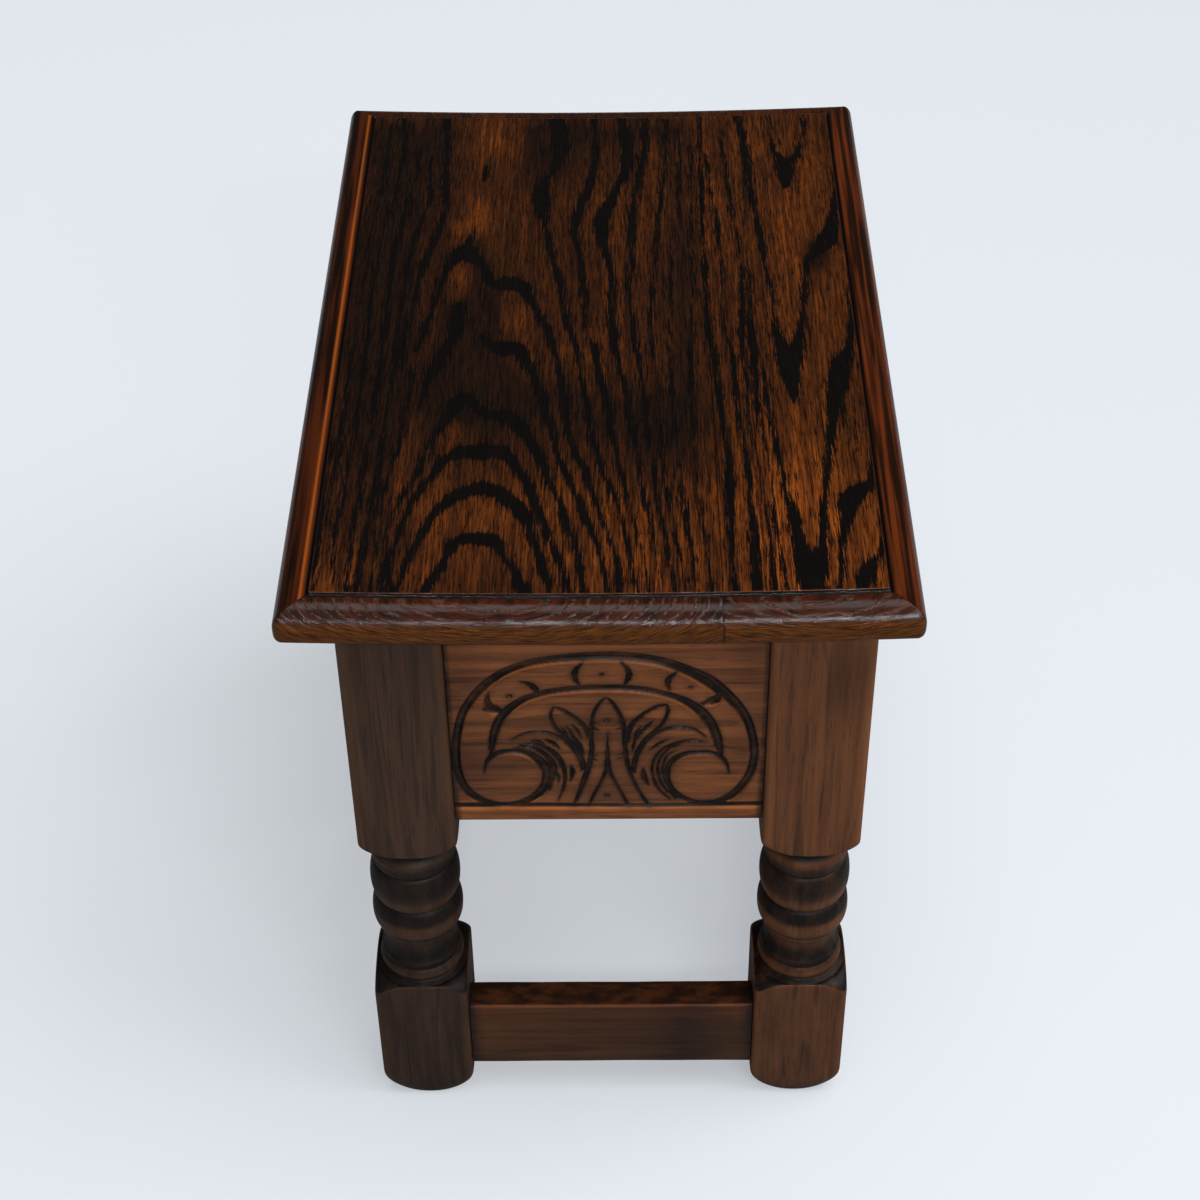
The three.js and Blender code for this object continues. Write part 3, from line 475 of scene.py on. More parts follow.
     (108, 150, 2.2), (106.5, 165, 2.4), (104.5, 180, 3.2), (103, 192, 4.6), (101, 204, 6)],
    [(99.5, -216, 1.6), (101, -175, 1.6), (105, -158, 5), (106, -146, 5.4), (106, -134, 2.4)],
    [(121, -216, 1.5), (116, -176, 1.6), (110, -160, 3)],
    [(135, 86, 1), (134.5, 105, 1.5), (134, 122, 2), (132.5, 134, 2.4), (127, 141, 4.4), (121, 147, 6),
     (118, 157, 4.6), (116, 168, 3), (114, 180, 2.2), (112.5, 195, 1.8), (111, 213, 1.8)],
    [(135, 158, 1.2), (134.5, 174, 1.8), (132, 186, 2.2), (128, 194, 2.6), (124, 201, 4.4),
     (122, 213, 4)],
    [(127.5, 86, .8), (127, 100, .9), (126.5, 112, .6)],
    [(123, 72, 1), (122, 86, 1.2), (121, 96, .7)],
]

# How far the lid's ground is browned down, partly as the wood's own tone and partly as painted shade that
# leaves the near right lightest and the far left darkest: an even level, then soft places as centre across
# and along, size across and along, and what each adds or takes away.
TONE_AND_SHADE_LEVEL = 0.8
TONE_AND_SHADE_PLACES = [
    (100, 190, 38, 60, -0.8), (20, 195, 60, 45, -0.33), (-55, 165, 25, 30, -0.2),
    (95, 100, 25, 60, -0.28), (110, -100, 26, 110, -0.35), (64, -110, 12, 80, -0.3),
    (-66, -188, 17, 28, -0.55), (5, -110, 20, 30, -0.1), (-80, 20, 60, 130, 0.15),
    (-125, -60, 14, 160, 0.2), (25, 105, 40, 22, 0.1), (-58, 62, 26, 20, 0.25), (40, -20, 18, 100, -0.05),
    (-44, -5, 7, 20, -0.2), (-76, -42, 6, 14, -0.35), (-68, -110, 6, 22, -0.4), (-79, -92, 5, 14, -0.35),
    (-120, 205, 14, 22, -0.4), (-97, 138, 6, 30, -0.25), (-84, 205, 8, 16, -0.4),
    (-82, 150, 8, 26, -0.22), (-74, 92, 7, 14, -0.2), (-92, 95, 4, 22, -0.12), (-38, 150, 14, 30, -0.3),
    (28, -160, 8, 40, -0.2), (82, -190, 14, 30, -0.3), (-107, -190, 4, 30, -0.2),
    (-30, -165, 26, 40, 0.2), (20, 75, 36, 24, 0.15), (118, -62, 8, 18, 0.5), (68, 190, 9, 30, 0.3),
    (0, 150, 45, 14, -0.15), (82, 150, 22, 14, -0.16), (46, -40, 9, 110, 0.2), (-60, -10, 9, 60, 0.22),
    (-112, -60, 11, 130, 0.3), (118, -90, 8, 60, 0.2), (-40, 70, 45, 28, 0.08),
    (-110, -180, 30, 25, 0.25), (0, -195, 140, 12, 0.12), (-18, 22, 14, 12, -0.15),
]


def lid_grid_lines(half, step):
    """Even lines across the field, with a few more close to its edge for the rounded corners."""
    edge = half - np.array([0.0, 0.4, 0.9, 1.5, 2.3])
    inner = np.linspace(-half + 3.2, half - 3.2, int(2 * half / step))
    return np.concatenate([-edge, inner, edge[::-1]])


def lid_edge():
    """The moulding from the field's edge out to the nose and under it, as inset and depth."""
    rows = list(QUIRK)
    for angle in np.radians(np.linspace(4, 90, 26)):
        across = 1 - math.sin(angle) ** SLOPE_POWER
        down = 1 - math.cos(angle) ** SLOPE_POWER if angle < math.pi / 2 else 1.0
        rows.append((SLOPE_INSET * across, SLOPE_DEPTH + (NOSE_DEPTH - SLOPE_DEPTH) * down))
    rows.append((0.0, (NOSE_DEPTH + NOSE_LOW) / 2))
    for angle in np.radians(np.linspace(0, 90, 8)):
        inset = UNDER_ROUND * (1 - math.cos(angle))
        rows.append((inset, NOSE_LOW + (LID_THICK - NOSE_LOW) * math.sin(angle)))
    return rows + [(7.0, LID_THICK), (FIELD_INSET, LID_THICK)]


def cup(points):
    points[:, 2] += LID_CUP * (2 * points[:, 1] / LID_WIDTH) ** 2
    return points


def lid_field():
    """The points of the lid's flat field and their numbers as a grid."""
    lines = lid_grid_lines(FIELD_HALF[0], 2.5), lid_grid_lines(FIELD_HALF[1], 1.05)
    x, y = np.meshgrid(*lines, indexing="ij")
    points = np.stack([x.ravel(), y.ravel(), np.full(x.size, LID_LOW + LID_THICK)], 1)
    return points, np.arange(x.size).reshape(x.shape)


def moulding_ring(base, inset, depth):
    """A line round the moulding, with rounded corners, that follows the field's edge."""
    out = np.array([LID_LENGTH / 2 - inset, LID_WIDTH / 2 - inset])
    ring = base * out / FIELD_HALF
    radius = max(LID_CORNER - inset, 0.5)
    corner = np.abs(ring) - (out - radius)
    reach = np.hypot(corner[:, 0], corner[:, 1]) + 1e-9
    pulled = np.sign(ring) * (out - radius + corner * (radius / reach)[:, None])
    ring = np.where((corner > 0).all(1)[:, None], pulled, ring)
    return np.column_stack([ring, np.full(len(base), LID_LOW + LID_THICK - depth)])


def moulding_shades(base, inset, depth):
    """The shades along such a line: moulding, dirt, rubbed edge, end grain, and the end's lower face below
    the crest, where light is painted on.
    """
    on_end = (np.abs(np.abs(base[:, 0]) - FIELD_HALF[0]) < 0.01).astype(float)
    on_front = (1 - on_end) * (base[:, 1] < 0)
    on_top = depth < 5
    beneath = depth >= LID_THICK and inset > UNDER_ROUND
    in_quirk = depth > 0.3 and inset > 14.9
    far_slope = on_end * (base[:, 0] < 0) * (inset > 8.0 and on_top)
    end = np.zeros(len(base)) if beneath else on_end * (1 - 0.8 * far_slope)
    dark_slope = 0.45 * on_front * (2.0 < inset < 11.5)
    stripe = 0.6 if 12.3 < inset < 13.2 and on_top else 0.0
    arris = 0.25 if depth < 0.3 else 0.0
    return {
        "rim": (1 - 0.8 * far_slope) * (depth > 0.1),
        "dirt_and_shade": np.maximum(dark_slope, 0.3 if beneath else float(in_quirk)),
        "glow": on_front * stripe + arris,
        "end": end,
        # Painted light: how far the end's face lies below the crest, where it is made lighter.
        "low": end * smooth_step((depth - 4.6) / 4.5),
    }


def underside_faces(ring, nx, ny):
    """Strips across the lid that close its underside within the last ring of points."""
    near, right, far = ring[:nx], ring[nx - 1:nx + ny - 1], ring[nx + ny - 2:2 * nx + ny - 2]
    left = np.concatenate([ring[2 * nx + ny - 3:], ring[:1]])[::-1]
    strips = [[left[j], right[j], right[j + 1], left[j + 1]] for j in range(1, ny - 2)]
    return [[*near, right[1], left[1]], *strips, [left[-2], right[-2], *far]]


def lid_figure(points, field_count):
    """How far each point lies outside the dark bands, and how far its ground is browned down by its tone and
    by painted shade.
    """
    figure = np.full(len(points), 6.0)
    for line in BANDS:
        far, wide, _ = reach_from(points[:field_count, [1, 0]], curve_through(line, 6.0))
        figure[:field_count] = np.minimum(figure[:field_count], far - wide)
    tone_and_shade = np.full(len(points), TONE_AND_SHADE_LEVEL)
    for y, x, size_y, size_x, strength in TONE_AND_SHADE_PLACES:
        tone_and_shade += strength * np.exp(-((points[:, 1] - y) / size_y) ** 2 - ((points[:, 0] - x) / size_x) ** 2)
    return {"figure": figure, "tone_and_shade": tone_and_shade}


def build_lid():
    """The lid as one shape, then cut into its two boards."""
    field, index = lid_field()
    border = grid_border(index)
    base, count = field[border, :2], len(border)
    faces, blocks, shades, previous = grid_faces(index), [field], [], border
    for number, (inset, depth) in enumerate(lid_edge()):
        blocks.append(moulding_ring(base, inset, depth))
        shades.append(moulding_shades(base, inset, depth))
        ring = len(field) + number * count + np.arange(count)
        faces += np.stack([previous, ring, np.roll(ring, -1), np.roll(previous, -1)], 1).tolist()
        previous = ring
    faces += underside_faces(previous, *index.shape)
    plain = np.zeros(len(field))
    values = {key: np.concatenate([plain] + [shade[key] for shade in shades]) for key in shades[0]}
    points = cup(np.vstack(blocks))
    values.update(lid_figure(points, len(field)))
    whole = make_mesh("lid_whole", points, [[int(i) for i in face] for face in faces], values)
    cut_board("lid_front_board_oak", whole, JOINT_Y - JOINT_GAP / 2, 1, "lid_board_front")
    back = cut_board("lid_back_board_oak", whole, JOINT_Y + JOINT_GAP / 2, -1, "lid_board_back")
    bpy.data.meshes.remove(whole)
    return back


def cut_board(name, whole, place, side, node):
    """One board of the lid, closed where it meets the other."""
    work = bmesh.new()
    work.from_mesh(whole)
    bmesh.ops.bisect_plane(
        work, geom=work.verts[:] + work.edges[:] + work.faces[:], plane_co=(0, place * MM, 0),
        plane_no=(0, side, 0), clear_outer=True)
    open_edges = [edge for edge in work.edges if edge.is_boundary]
    bmesh.ops.holes_fill(work, edges=open_edges, sides=0)
    bmesh.ops.recalc_face_normals(work, faces=work.faces)
    dirt_and_shade = work.verts.layers.float["dirt_and_shade"]
    for vertex in work.verts:
        if abs(vertex.co.y - place * MM) < 0.01 * MM:
            vertex[dirt_and_shade] = 1.0
    mesh = bpy.data.meshes.new(name)
    work.to_mesh(mesh)
    work.free()
    for polygon in mesh.polygons:
        polygon.use_smooth = len(polygon.vertices) <= 6
    return add_piece(name, mesh, lid_top, "lid", "lid_oak", node)


back_board = build_lid()


# Rails, with the carving drawn by its places in the photograph.
# Each line is a half width in millimetres, then points: across, down and a share of that width.
CROP_AT, CROP_SCALE = (440.0, 640.0), 4.6118
CARVING = [
    (2.3, [(203, 612, .15), (210, 575, .35), (232, 541, .6), (270, 524, .8), (330, 518, .9),
     (390, 524, 1), (440, 545, 1.1), (478, 580, 1.15), (493, 630, 1.15), (480, 680, 1.1), (440, 722, 1),
     (380, 752, 1), (310, 766, 1), (235, 757, 1), (165, 728, 1), (112, 680, 1), (82, 610, 1),
     (72, 530, 1), (78, 440, 1), (100, 350, 1), (145, 275, 1), (205, 212, 1.05), (285, 158, 1.1),
     (385, 120, 1.15), (500, 98, 1.25), (640, 86, 1.4), (780, 82, 1.5), (920, 90, 1.45), (1040, 112, 1.4),
     (1150, 151, 1.55), (1240, 196, 1.7), (1306, 244, 1.5), (1368, 300, 1.2), (1415, 367, 1.05),
     (1440, 440, 1), (1450, 520, 1), (1440, 590, 1), (1410, 650, 1), (1360, 705, 1), (1300, 742, 1),
     (1230, 755, .9), (1165, 748, .8), (1110, 725, .8), (1068, 690, .75), (1047, 640, .7),
     (1052, 590, .75), (1080, 552, .8), (1130, 529, .8), (1190, 522, .8), (1250, 524, .75),
     (1295, 541, .6), (1322, 572, .4), (1333, 612, .15)]),
    (1.9, [(236, 535, .5), (238, 490, .9), (250, 430, 1.25), (275, 370, 1.25), (320, 320, 1.25),
     (385, 280, 1.2), (470, 252, 1.2), (560, 237, 1.25), (660, 228, 1.3), (780, 225, 1.35),
     (880, 229, 1.3), (970, 240, 1.25), (1060, 260, 1.2), (1140, 291, 1.35), (1205, 335, 1.5),
     (1250, 390, 1.45), (1277, 450, 1.35), (1290, 505, 1), (1302, 545, .4)]),
    (1.5, [(366, 192, .2), (408, 204, .9), (438, 228, 1.2), (452, 262, .3)]),
    (1.7, [(226, 243, .2), (216, 275, .8), (226, 305, 1.2), (262, 328, 1.5), (302, 333, .4)]),
    (1.7, [(205, 322, .6), (245, 331, 1.5), (285, 332, 1)]),
    (1.5, [(658, 108, .2), (632, 130, .8), (619, 160, 1.1), (627, 190, .9), (648, 214, .2)]),
    (1.5, [(834, 106, .3), (860, 130, .9), (872, 160, 1.1), (864, 188, .9), (844, 212, .2)]),
    (1.5, [(1092, 152, .2), (1062, 172, .9), (1050, 202, 1.1), (1060, 238, .2)]),
    (1.8, [(1292, 232, .3), (1286, 262, 1.1), (1262, 284, 1.6), (1225, 296, 1.2), (1198, 294, .2)]),
    (0.92, [(765, 266, .4), (742, 284, .8), (718, 318, .9), (704, 355, 1.1), (698, 400, 1.3),
     (697, 450, 1.4), (699, 500, 1.5), (694, 550, 1.6), (682, 600, 1.8), (664, 650, 1.8), (645, 700, 1.4),
     (628, 740, 1), (614, 766, .6)]),
    (0.92, [(765, 266, .4), (790, 284, .9), (812, 316, 1.1), (832, 352, 1.2), (846, 392, 1.3),
     (852, 440, 1.4), (854, 500, 1.5), (862, 560, 1.4), (876, 610, 1.3), (896, 660, 1.1), (922, 705, 1),
     (950, 745, .9), (968, 768, .5)]),
    (1.1, [(523, 310, .4), (512, 335, .8), (514, 368, .9), (530, 402, 1), (565, 438, 1.1),
     (605, 475, 1.2), (636, 515, 1.3), (655, 560, 1.5), (662, 600, 1.7)]),
    (1.1, [(523, 310, .4), (560, 322, .9), (600, 345, 1), (640, 375, 1.2), (672, 410, 1.4),
     (690, 450, 1.4)]),
    (1.05, [(556, 400, .3), (575, 425, 1), (592, 450, .3)]),
    (1.05, [(582, 400, .3), (605, 430, 1), (622, 454, .3)]),
    (1.05, [(610, 392, .3), (632, 420, 1), (652, 450, .3)]),
    (1.05, [(596, 428, .3), (625, 470, 1.2), (648, 510, .3)]),
    (1.05, [(624, 452, .3), (645, 490, 1.2), (664, 530, .4)]),
    (1.1, [(1045, 298, .4), (1052, 325, .9), (1040, 362, .9), (1015, 400, 1), (975, 435, 1.1),
     (940, 470, 1.1), (912, 515, 1.2), (898, 560, 1.3), (890, 610, 1.3)]),
    (1.1, [(1045, 298, .4), (1005, 306, .9), (960, 328, .9), (918, 358, 1), (885, 390, 1.2),
     (868, 430, 1.4), (862, 470, 1.3)]),
    (1.05, [(978, 376, .3), (955, 398, 1), (930, 426, .3)]),
    (1.05, [(950, 398, .3), (925, 427, 1), (905, 458, .3)]),
    (1.05, [(925, 402, .3), (905, 432, 1), (893, 464, .3)]),
    (1.05, [(905, 450, .3), (893, 482, .9), (888, 516, .3)]),
    (1.1, [(330, 458, .3), (375, 438, .7), (430, 426, .9), (490, 430, 1), (545, 448, 1.1),
     (590, 478, 1.2), (625, 515, 1.3), (648, 560, 1.4)]),
    (1.1, [(370, 486, .4), (430, 484, 1.1), (485, 500, 1.5), (530, 530, 1.6), (562, 575, 1.4),
     (576, 625, 1.1), (570, 680, .8), (545, 740, .3)]),
    (1.1, [(345, 500, .3), (400, 497, .9), (450, 508, 1.3), (500, 545, 1.6), (524, 590, 1.8),
     (520, 635, 1.2), (505, 690, .4)]),
    (1.1, [(486, 458, .3), (520, 478, 1.3), (552, 502, .4)]),
    (1.05, [(425, 465, .3), (455, 469, .9), (482, 482, .3)]),
    (1.1, [(604, 578, .3), (611, 612, 1.3), (600, 652, .3)]),
    (1.05, [(530, 602, .3), (546, 630, 1), (545, 662, .3)]),
    (1.1, [(1225, 445, .4), (1180, 418, .9), (1130, 406, 1), (1070, 406, 1), (1015, 422, 1),
     (970, 448, 1.1), (930, 490, 1.2), (905, 540, 1.3), (892, 592, 1.4)]),
    (1.05, [(1235, 470, .2), (1160, 465, .7), (1095, 475, .9), (1035, 500, .9), (995, 540, .9),
     (978, 590, .9), (985, 640, .9), (1010, 690, .8), (1060, 732, .5)]),
    (1.05, [(1110, 480, .3), (1060, 500, .8), (1020, 540, .9), (1003, 590, 1), (1010, 640, 1),
     (1040, 690, .8), (1088, 730, .5)]),
    (1.05, [(1090, 507, .2), (1050, 532, .7), (1030, 575, .9), (1027, 620, .9), (1042, 662, .6)]),
    (1.05, [(1052, 458, .3), (1010, 478, .9), (970, 504, .3)]),
    (1.1, [(936, 588, .3), (940, 630, 1.6), (962, 668, .3)]),
    (1.05, [(774, 426, .25), (773, 470, .5), (772, 510, .9), (772, 560, 1.4), (773, 600, 1.7)]),
    (1.05, [(770, 596, 1.5), (755, 630, 1), (735, 670, .9), (708, 718, .9), (688, 766, .6)]),
    (1.05, [(776, 596, 1.5), (792, 630, 1), (815, 670, .9), (842, 718, .9), (872, 768, .6)]),
    (1.0, [(700, 381, .9), (731, 384, .2)]),
    (1.0, [(703, 404, 1), (733, 420, .2)]),
    (1.0, [(846, 377, 1), (819, 382, .2)]),
    (1.0, [(848, 405, 1), (817, 412, .2)]),
    (1.0, [(698, 530, .9), (725, 534, .2)]),
    (1.0, [(702, 548, .9), (723, 554, .2)]),
    (1.0, [(852, 522, .9), (821, 530, .2)]),
    (1.0, [(852, 540, .9), (819, 548, .2)]),
    (1.1, [(317, 260, 1), (323, 260, 1)]),
    (1.0, [(742, 160, 1), (748, 160, 1)]),
    (1.0, [(1154, 220, 1), (1160, 220, 1)]),
    (1.0, [(764, 372, 1), (773, 372, 1)]),
    (1.0, [(765, 716, 1), (775, 716, 1)]),
]


def on_rail(across, down):
    """Where a place in the photograph's crop meets the near end rail's carved face, in the rail's frame."""
    turn = CAMERA_TURN.to_matrix()
    x = CROP_AT[0] + across / CROP_SCALE
    y = CROP_AT[1] + down / CROP_SCALE
    ray = turn @ Vector((x - PHOTO_SIDE / 2, PHOTO_SIDE / 2 - y, -FOCAL_PIXELS))
    share = ((HALF_LENGTH - RAIL_SETBACK) * MM - CAMERA_AT.x) / ray.x
    place = CAMERA_AT + ray * share
    return place.y / MM - MIDDLE, place.z / MM - RAIL_LOW


def carving_lines():
    lines = []
    for half_width, points in CARVING:
        placed = [(*on_rail(across, down), half_width * share) for across, down, share in points]
        lines.append(curve_through(placed, 1.6))
    return lines


def cut_shades(places, line):
    """Depth, dark wax with painted shade, and a painted highlight, that one carved line leaves at places
    near it.
    """
    far, wide, above = reach_from(places, line)
    wide = np.maximum(wide, 0.15)
    share = far / wide
    outside = np.maximum(far - wide, 0)
    cut = np.clip(1 - share, 0, 1)
    broad = np.clip(wide / 1.2 - 1, 0, 1)
    bead = 0.4 * broad * np.exp(-(share / 0.26) ** 2)
    depth = 1.1 * wide * (1 - bead) * cut ** 0.8 + 0.12 * wide * np.exp(-outside ** 2)
    low_side = smooth_step((-above / wide - 0.62) / 0.14) * broad
    # Dark wax in the cut with painted shade: darker on the upper wall than on the lit lower wall.
    stain_and_shade = smooth_step(cut * 7.0) * np.clip(wide / 0.5, 0.5, 1) * (1 - 0.85 * low_side) * (1 - 0.5 * bead)
    # Painted shade close round the cut, except below it, and a broader soft darkening.
    halo = 0.32 * np.exp(-(outside / 0.6) ** 2) * (1 - low_side) + 0.18 * np.exp(-(outside / 3.0) ** 2)
    # Painted highlight along the cut's lit lower lip.
    lit_lip = 0.95 * np.exp(-((far - 0.95 * wide) / 0.5) ** 2) * low_side
    return depth, np.where(share < 1, stain_and_shade, halo), lit_lip


def carve(places, lines, offsets):
    """Depth, dark wax with painted shade, and painted highlight at places on a rail's face, with the carving
    repeated at each offset.
    """
    shades = np.zeros((3, len(places)))
    for offset in offsets:
        for line in lines:
            moved = line + np.array([offset, 0, 0])
            margin = line[:, 2].max() + 3.0
            low, high = moved.min(0)[:2] - margin, moved.max(0)[:2] + margin
            picked = np.where(((places > low) & (places < high)).all(1))[0]
            if len(picked):
                shades[:, picked] = np.maximum(shades[:, picked], cut_shades(places[picked], moved))
    depth, dirt_and_shade, wear_and_light = shades
    return depth, dirt_and_shade, wear_and_light * (1 - dirt_and_shade)


def rail_shades(places, half, lines, offsets):
    """Depth, dirt with painted shade, and wear with painted light of a whole face: the carving, the line
    below it, and the soft lower edge.
    """
    depth, dirt_and_shade, wear_and_light = carve(places, lines, offsets)
    from_middle, height = np.abs(places[:, 0]), places[:, 1]
    above_line = height - RAIL_LINE_HEIGHT
    line = np.clip(1 - np.abs(above_line) / (2.4 + 0.9 * np.cos(places[:, 0] * 0.04 + 2.4)), 0, 1)
    low = np.clip(1 - height / RAIL_ROUND, 0, 1)
    depth = np.maximum(depth, 1.6 * line)
    depth = np.maximum(depth, RAIL_ROUND * (1 - np.sqrt(1 - low ** 2)))
    # Painted shadow in the gaps where the face's ends meet the legs.
    shaded_ends = smooth_step(np.clip(1 - (half - from_middle) / 4.5, 0, 1))
    # Darker towards the ends, from a little above the lower edge upward.
    corner = smooth_step((from_middle - half + 34) / 34) * smooth_step(height / 40 - 0.2)
    # Dark wax with painted shade on the line's upper half, then the painted shadow at the ends and the
    # darker ends.
    for shade in (smooth_step(line * 3) * (above_line > -0.9), 0.8 * shaded_ends, 0.3 * corner):
        dirt_and_shade = np.maximum(dirt_and_shade, shade)
    # Painted highlight on the line's lit lower lip, and real wear on the rounded lower edge.
    for shade in (0.9 * np.exp(-(above_line + 1.9) ** 2), 0.5 * smooth_step(low)):
        wear_and_light = np.maximum(wear_and_light, shade)
    return depth, dirt_and_shade, wear_and_light


def rail_mesh(half, offsets, lines, step):
    """A rail in its own frame: across, up from its lower edge, and inwards from its carved face."""
    columns = np.linspace(-half, half, int(2 * half / step) + 1)
    upper_rows = np.linspace(1.8, RAIL_HEIGHT - 1.0, int(RAIL_HEIGHT / step))
    rows = np.concatenate([[0, 0.25, 0.6, 1.1], upper_rows, [RAIL_HEIGHT]])
    across, up = np.meshgrid(columns, rows, indexing="ij")
    places = np.stack([across.ravel(), up.ravel()], 1)
    depth, dirt_and_shade, wear_and_light = rail_shades(places, half, lines, offsets)
    index = np.arange(len(places)).reshape(across.shape)
    border = grid_border(index)
    count = len(border)
    back = len(places) + np.arange(count)
    sides = np.stack([border, back, np.roll(back, -1), np.roll(border, -1)], 1)
    faces = grid_faces(index) + sides.tolist() + [back[::-1].tolist()]
    front_points = np.column_stack([places, depth])
    back_points = np.column_stack([places[border], np.full(count, RAIL_THICK)])
    zeros = np.zeros(count)
    values = {"dirt_and_shade": np.concatenate([dirt_and_shade, zeros]), "wear_and_light": np.concatenate([wear_and_light, zeros])}
    return np.vstack([front_points, back_points]), faces, values


# How far apart a carved face's points are, on the end that the photograph shows and on the other sides.
SEEN_STEP, UNSEEN_STEP = 0.52, 0.85
RAIL_SIDES = {
    "right_end": (HALF_WIDTH, lambda p: (HALF_LENGTH - RAIL_SETBACK - p[:, 2], MIDDLE + p[:, 0])),
    "left_end": (HALF_WIDTH, lambda p: (p[:, 2] + RAIL_SETBACK - HALF_LENGTH, MIDDLE - p[:, 0])),
    "front": (HALF_LENGTH, lambda p: (p[:, 0], FRAME_FRONT + RAIL_SETBACK + p[:, 2])),
    "back": (HALF_LENGTH, lambda p: (-p[:, 0], FRAME_BACK - RAIL_SETBACK - p[:, 2])),
}


def build_rails():
    lines = carving_lines()
    pieces = {}
    for side, (half_whole, place) in RAIL_SIDES.items():
        half = half_whole - LEG_SIDE
        step = SEEN_STEP if side == "right_end" else UNSEEN_STEP
        offsets = [0.0] if side.endswith("end") else [-half / 2, half / 2]
        points, faces, values = rail_mesh(half - GAP, offsets, lines, step)
        x, y = place(points)
        placed = np.column_stack([x, y, points[:, 1] + RAIL_LOW])
        mesh = make_mesh(f"rail_{side}_oak", placed, faces, values)
        material = carved_cross if side.endswith("end") else carved_long
        pieces[side] = add_piece(f"rail_{side}_oak", mesh, material, "frame", "carved_oak", f"rail_{side}")
    return pieces


def cut_box(piece, low, high):
    """Takes a box out of a piece."""
    work = bmesh.new()
    bmesh.ops.create_cube(work, size=1.0)
    for vertex in work.verts:
        vertex.co = [a if c < 0 else b for a, b, c in zip(low, high, vertex.co)]
    mesh = bpy.data.meshes.new("recess")
    work.to_mesh(mesh)
    work.free()
    take_away(piece, put_in_scene("recess", mesh))


def cut_hinge_recesses(rail, board):
    """Lets each hinge's leaves and knuckles into the back rail's top and the lid's underside."""
    room = Vector((GAP, GAP, GAP)) * MM
    over_rail, under_lid = (LEG_HEIGHT + 4.0) * MM, (LEG_HEIGHT - 8.0) * MM
    for side in ("left", "right"):
        low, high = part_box(f"hinge_{side}_frame_leaf")
        cut_box(rail, low - room, Vector((high.x + room.x, high.y + room.y, over_rail)))
        low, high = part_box(f"hinge_{side}_lid_leaf")
        cut_box(board, Vector((low.x - room.x, low.y - room.y, under_lid)), high + room * 0.5)


def take_away(piece, cutter):
    """Cuts one shape out of a piece's mesh and removes the shape."""
    modifier = piece.modifiers.new("cut", "BOOLEAN")
    modifier.operation = "DIFFERENCE"
    modifier.solver = "EXACT"
    modifier.object = cutter
    depsgraph = bpy.context.evaluated_depsgraph_get()
    mesh = bpy.data.meshes.new_from_object(piece.evaluated_get(depsgraph), depsgraph=depsgraph)
    piece.modifiers.clear()
    old = piece.data
    piece.data = mesh
    bpy.data.meshes.remove(old)
    bpy.data.objects.remove(cutter)


rails = build_rails()
cut_hinge_recesses(rails["back"], back_board)


# Legs: a square with soft arrises, cut by a turned body.
# Rows: end height as a share of the turned length, end radius and bow as shares of half the side.
TURNING = [
    (0.074, 1, 0.09), (0.088, 0.82, 0), (0.15, 0.785, 0.1), (0.161, 0.845, 0), (0.184, 0.845, 0),
    (0.312, 0.785, -0.085), (0.318, 0.855, 0), (0.352, 0.85, 0), (0.516, 0.79, 0.145), (0.722, 0.79, 0.16),
    (0.735, 0.85, 0), (0.77, 0.88, 0.012), (0.774, 0.862, 0), (0.786, 0.892, 0.008), (0.79, 0.875, 0),
    (0.808, 0.9, 0.015), (0.842, 0.745, 0), (0.903, 1, 0),
]
# Rings where the turning is darker, old wax in the hollows with painted shade on the upper slopes and
# beneath the square blocks, and where it is paler, rubbed wax with painted light on the beads' lower sides:
# lower and upper height, softness, strength.
LEG_DARK = [
    (190.5, 200.5, 3.0, 0.75), (164.0, 184.0, 10.0, 0.6), (143.5, 152.2, 4.0, 0.76),
    (129.8, 132.2, 2.4, 0.62), (105.0, 118.0, 9.0, 0.72), (95.9, 98.6, 1.4, 0.95), (80.0, 97.4, 3.0, 0.9),
    (199.0, 215.0, 7.0, 0.5),
]
LEG_RUBBED_AND_LIT = [
    (186.0, 190.0, 2.5, 0.5), (153.0, 160.5, 6.0, 1.0), (133.0, 142.0, 6.0, 0.9), (100.0, 103.5, 2.5, 0.5),
]


def ringed(heights, rings):
    """A shade that keeps to rings of height, soft at their edges."""
    shade = np.zeros_like(heights)
    for low, high, soft, strength in rings:
        inside = smooth_step((heights - low) / soft + 0.5) * smooth_step((high - heights) / soft + 0.5)
        shade = np.maximum(shade, strength * inside)
    return shade


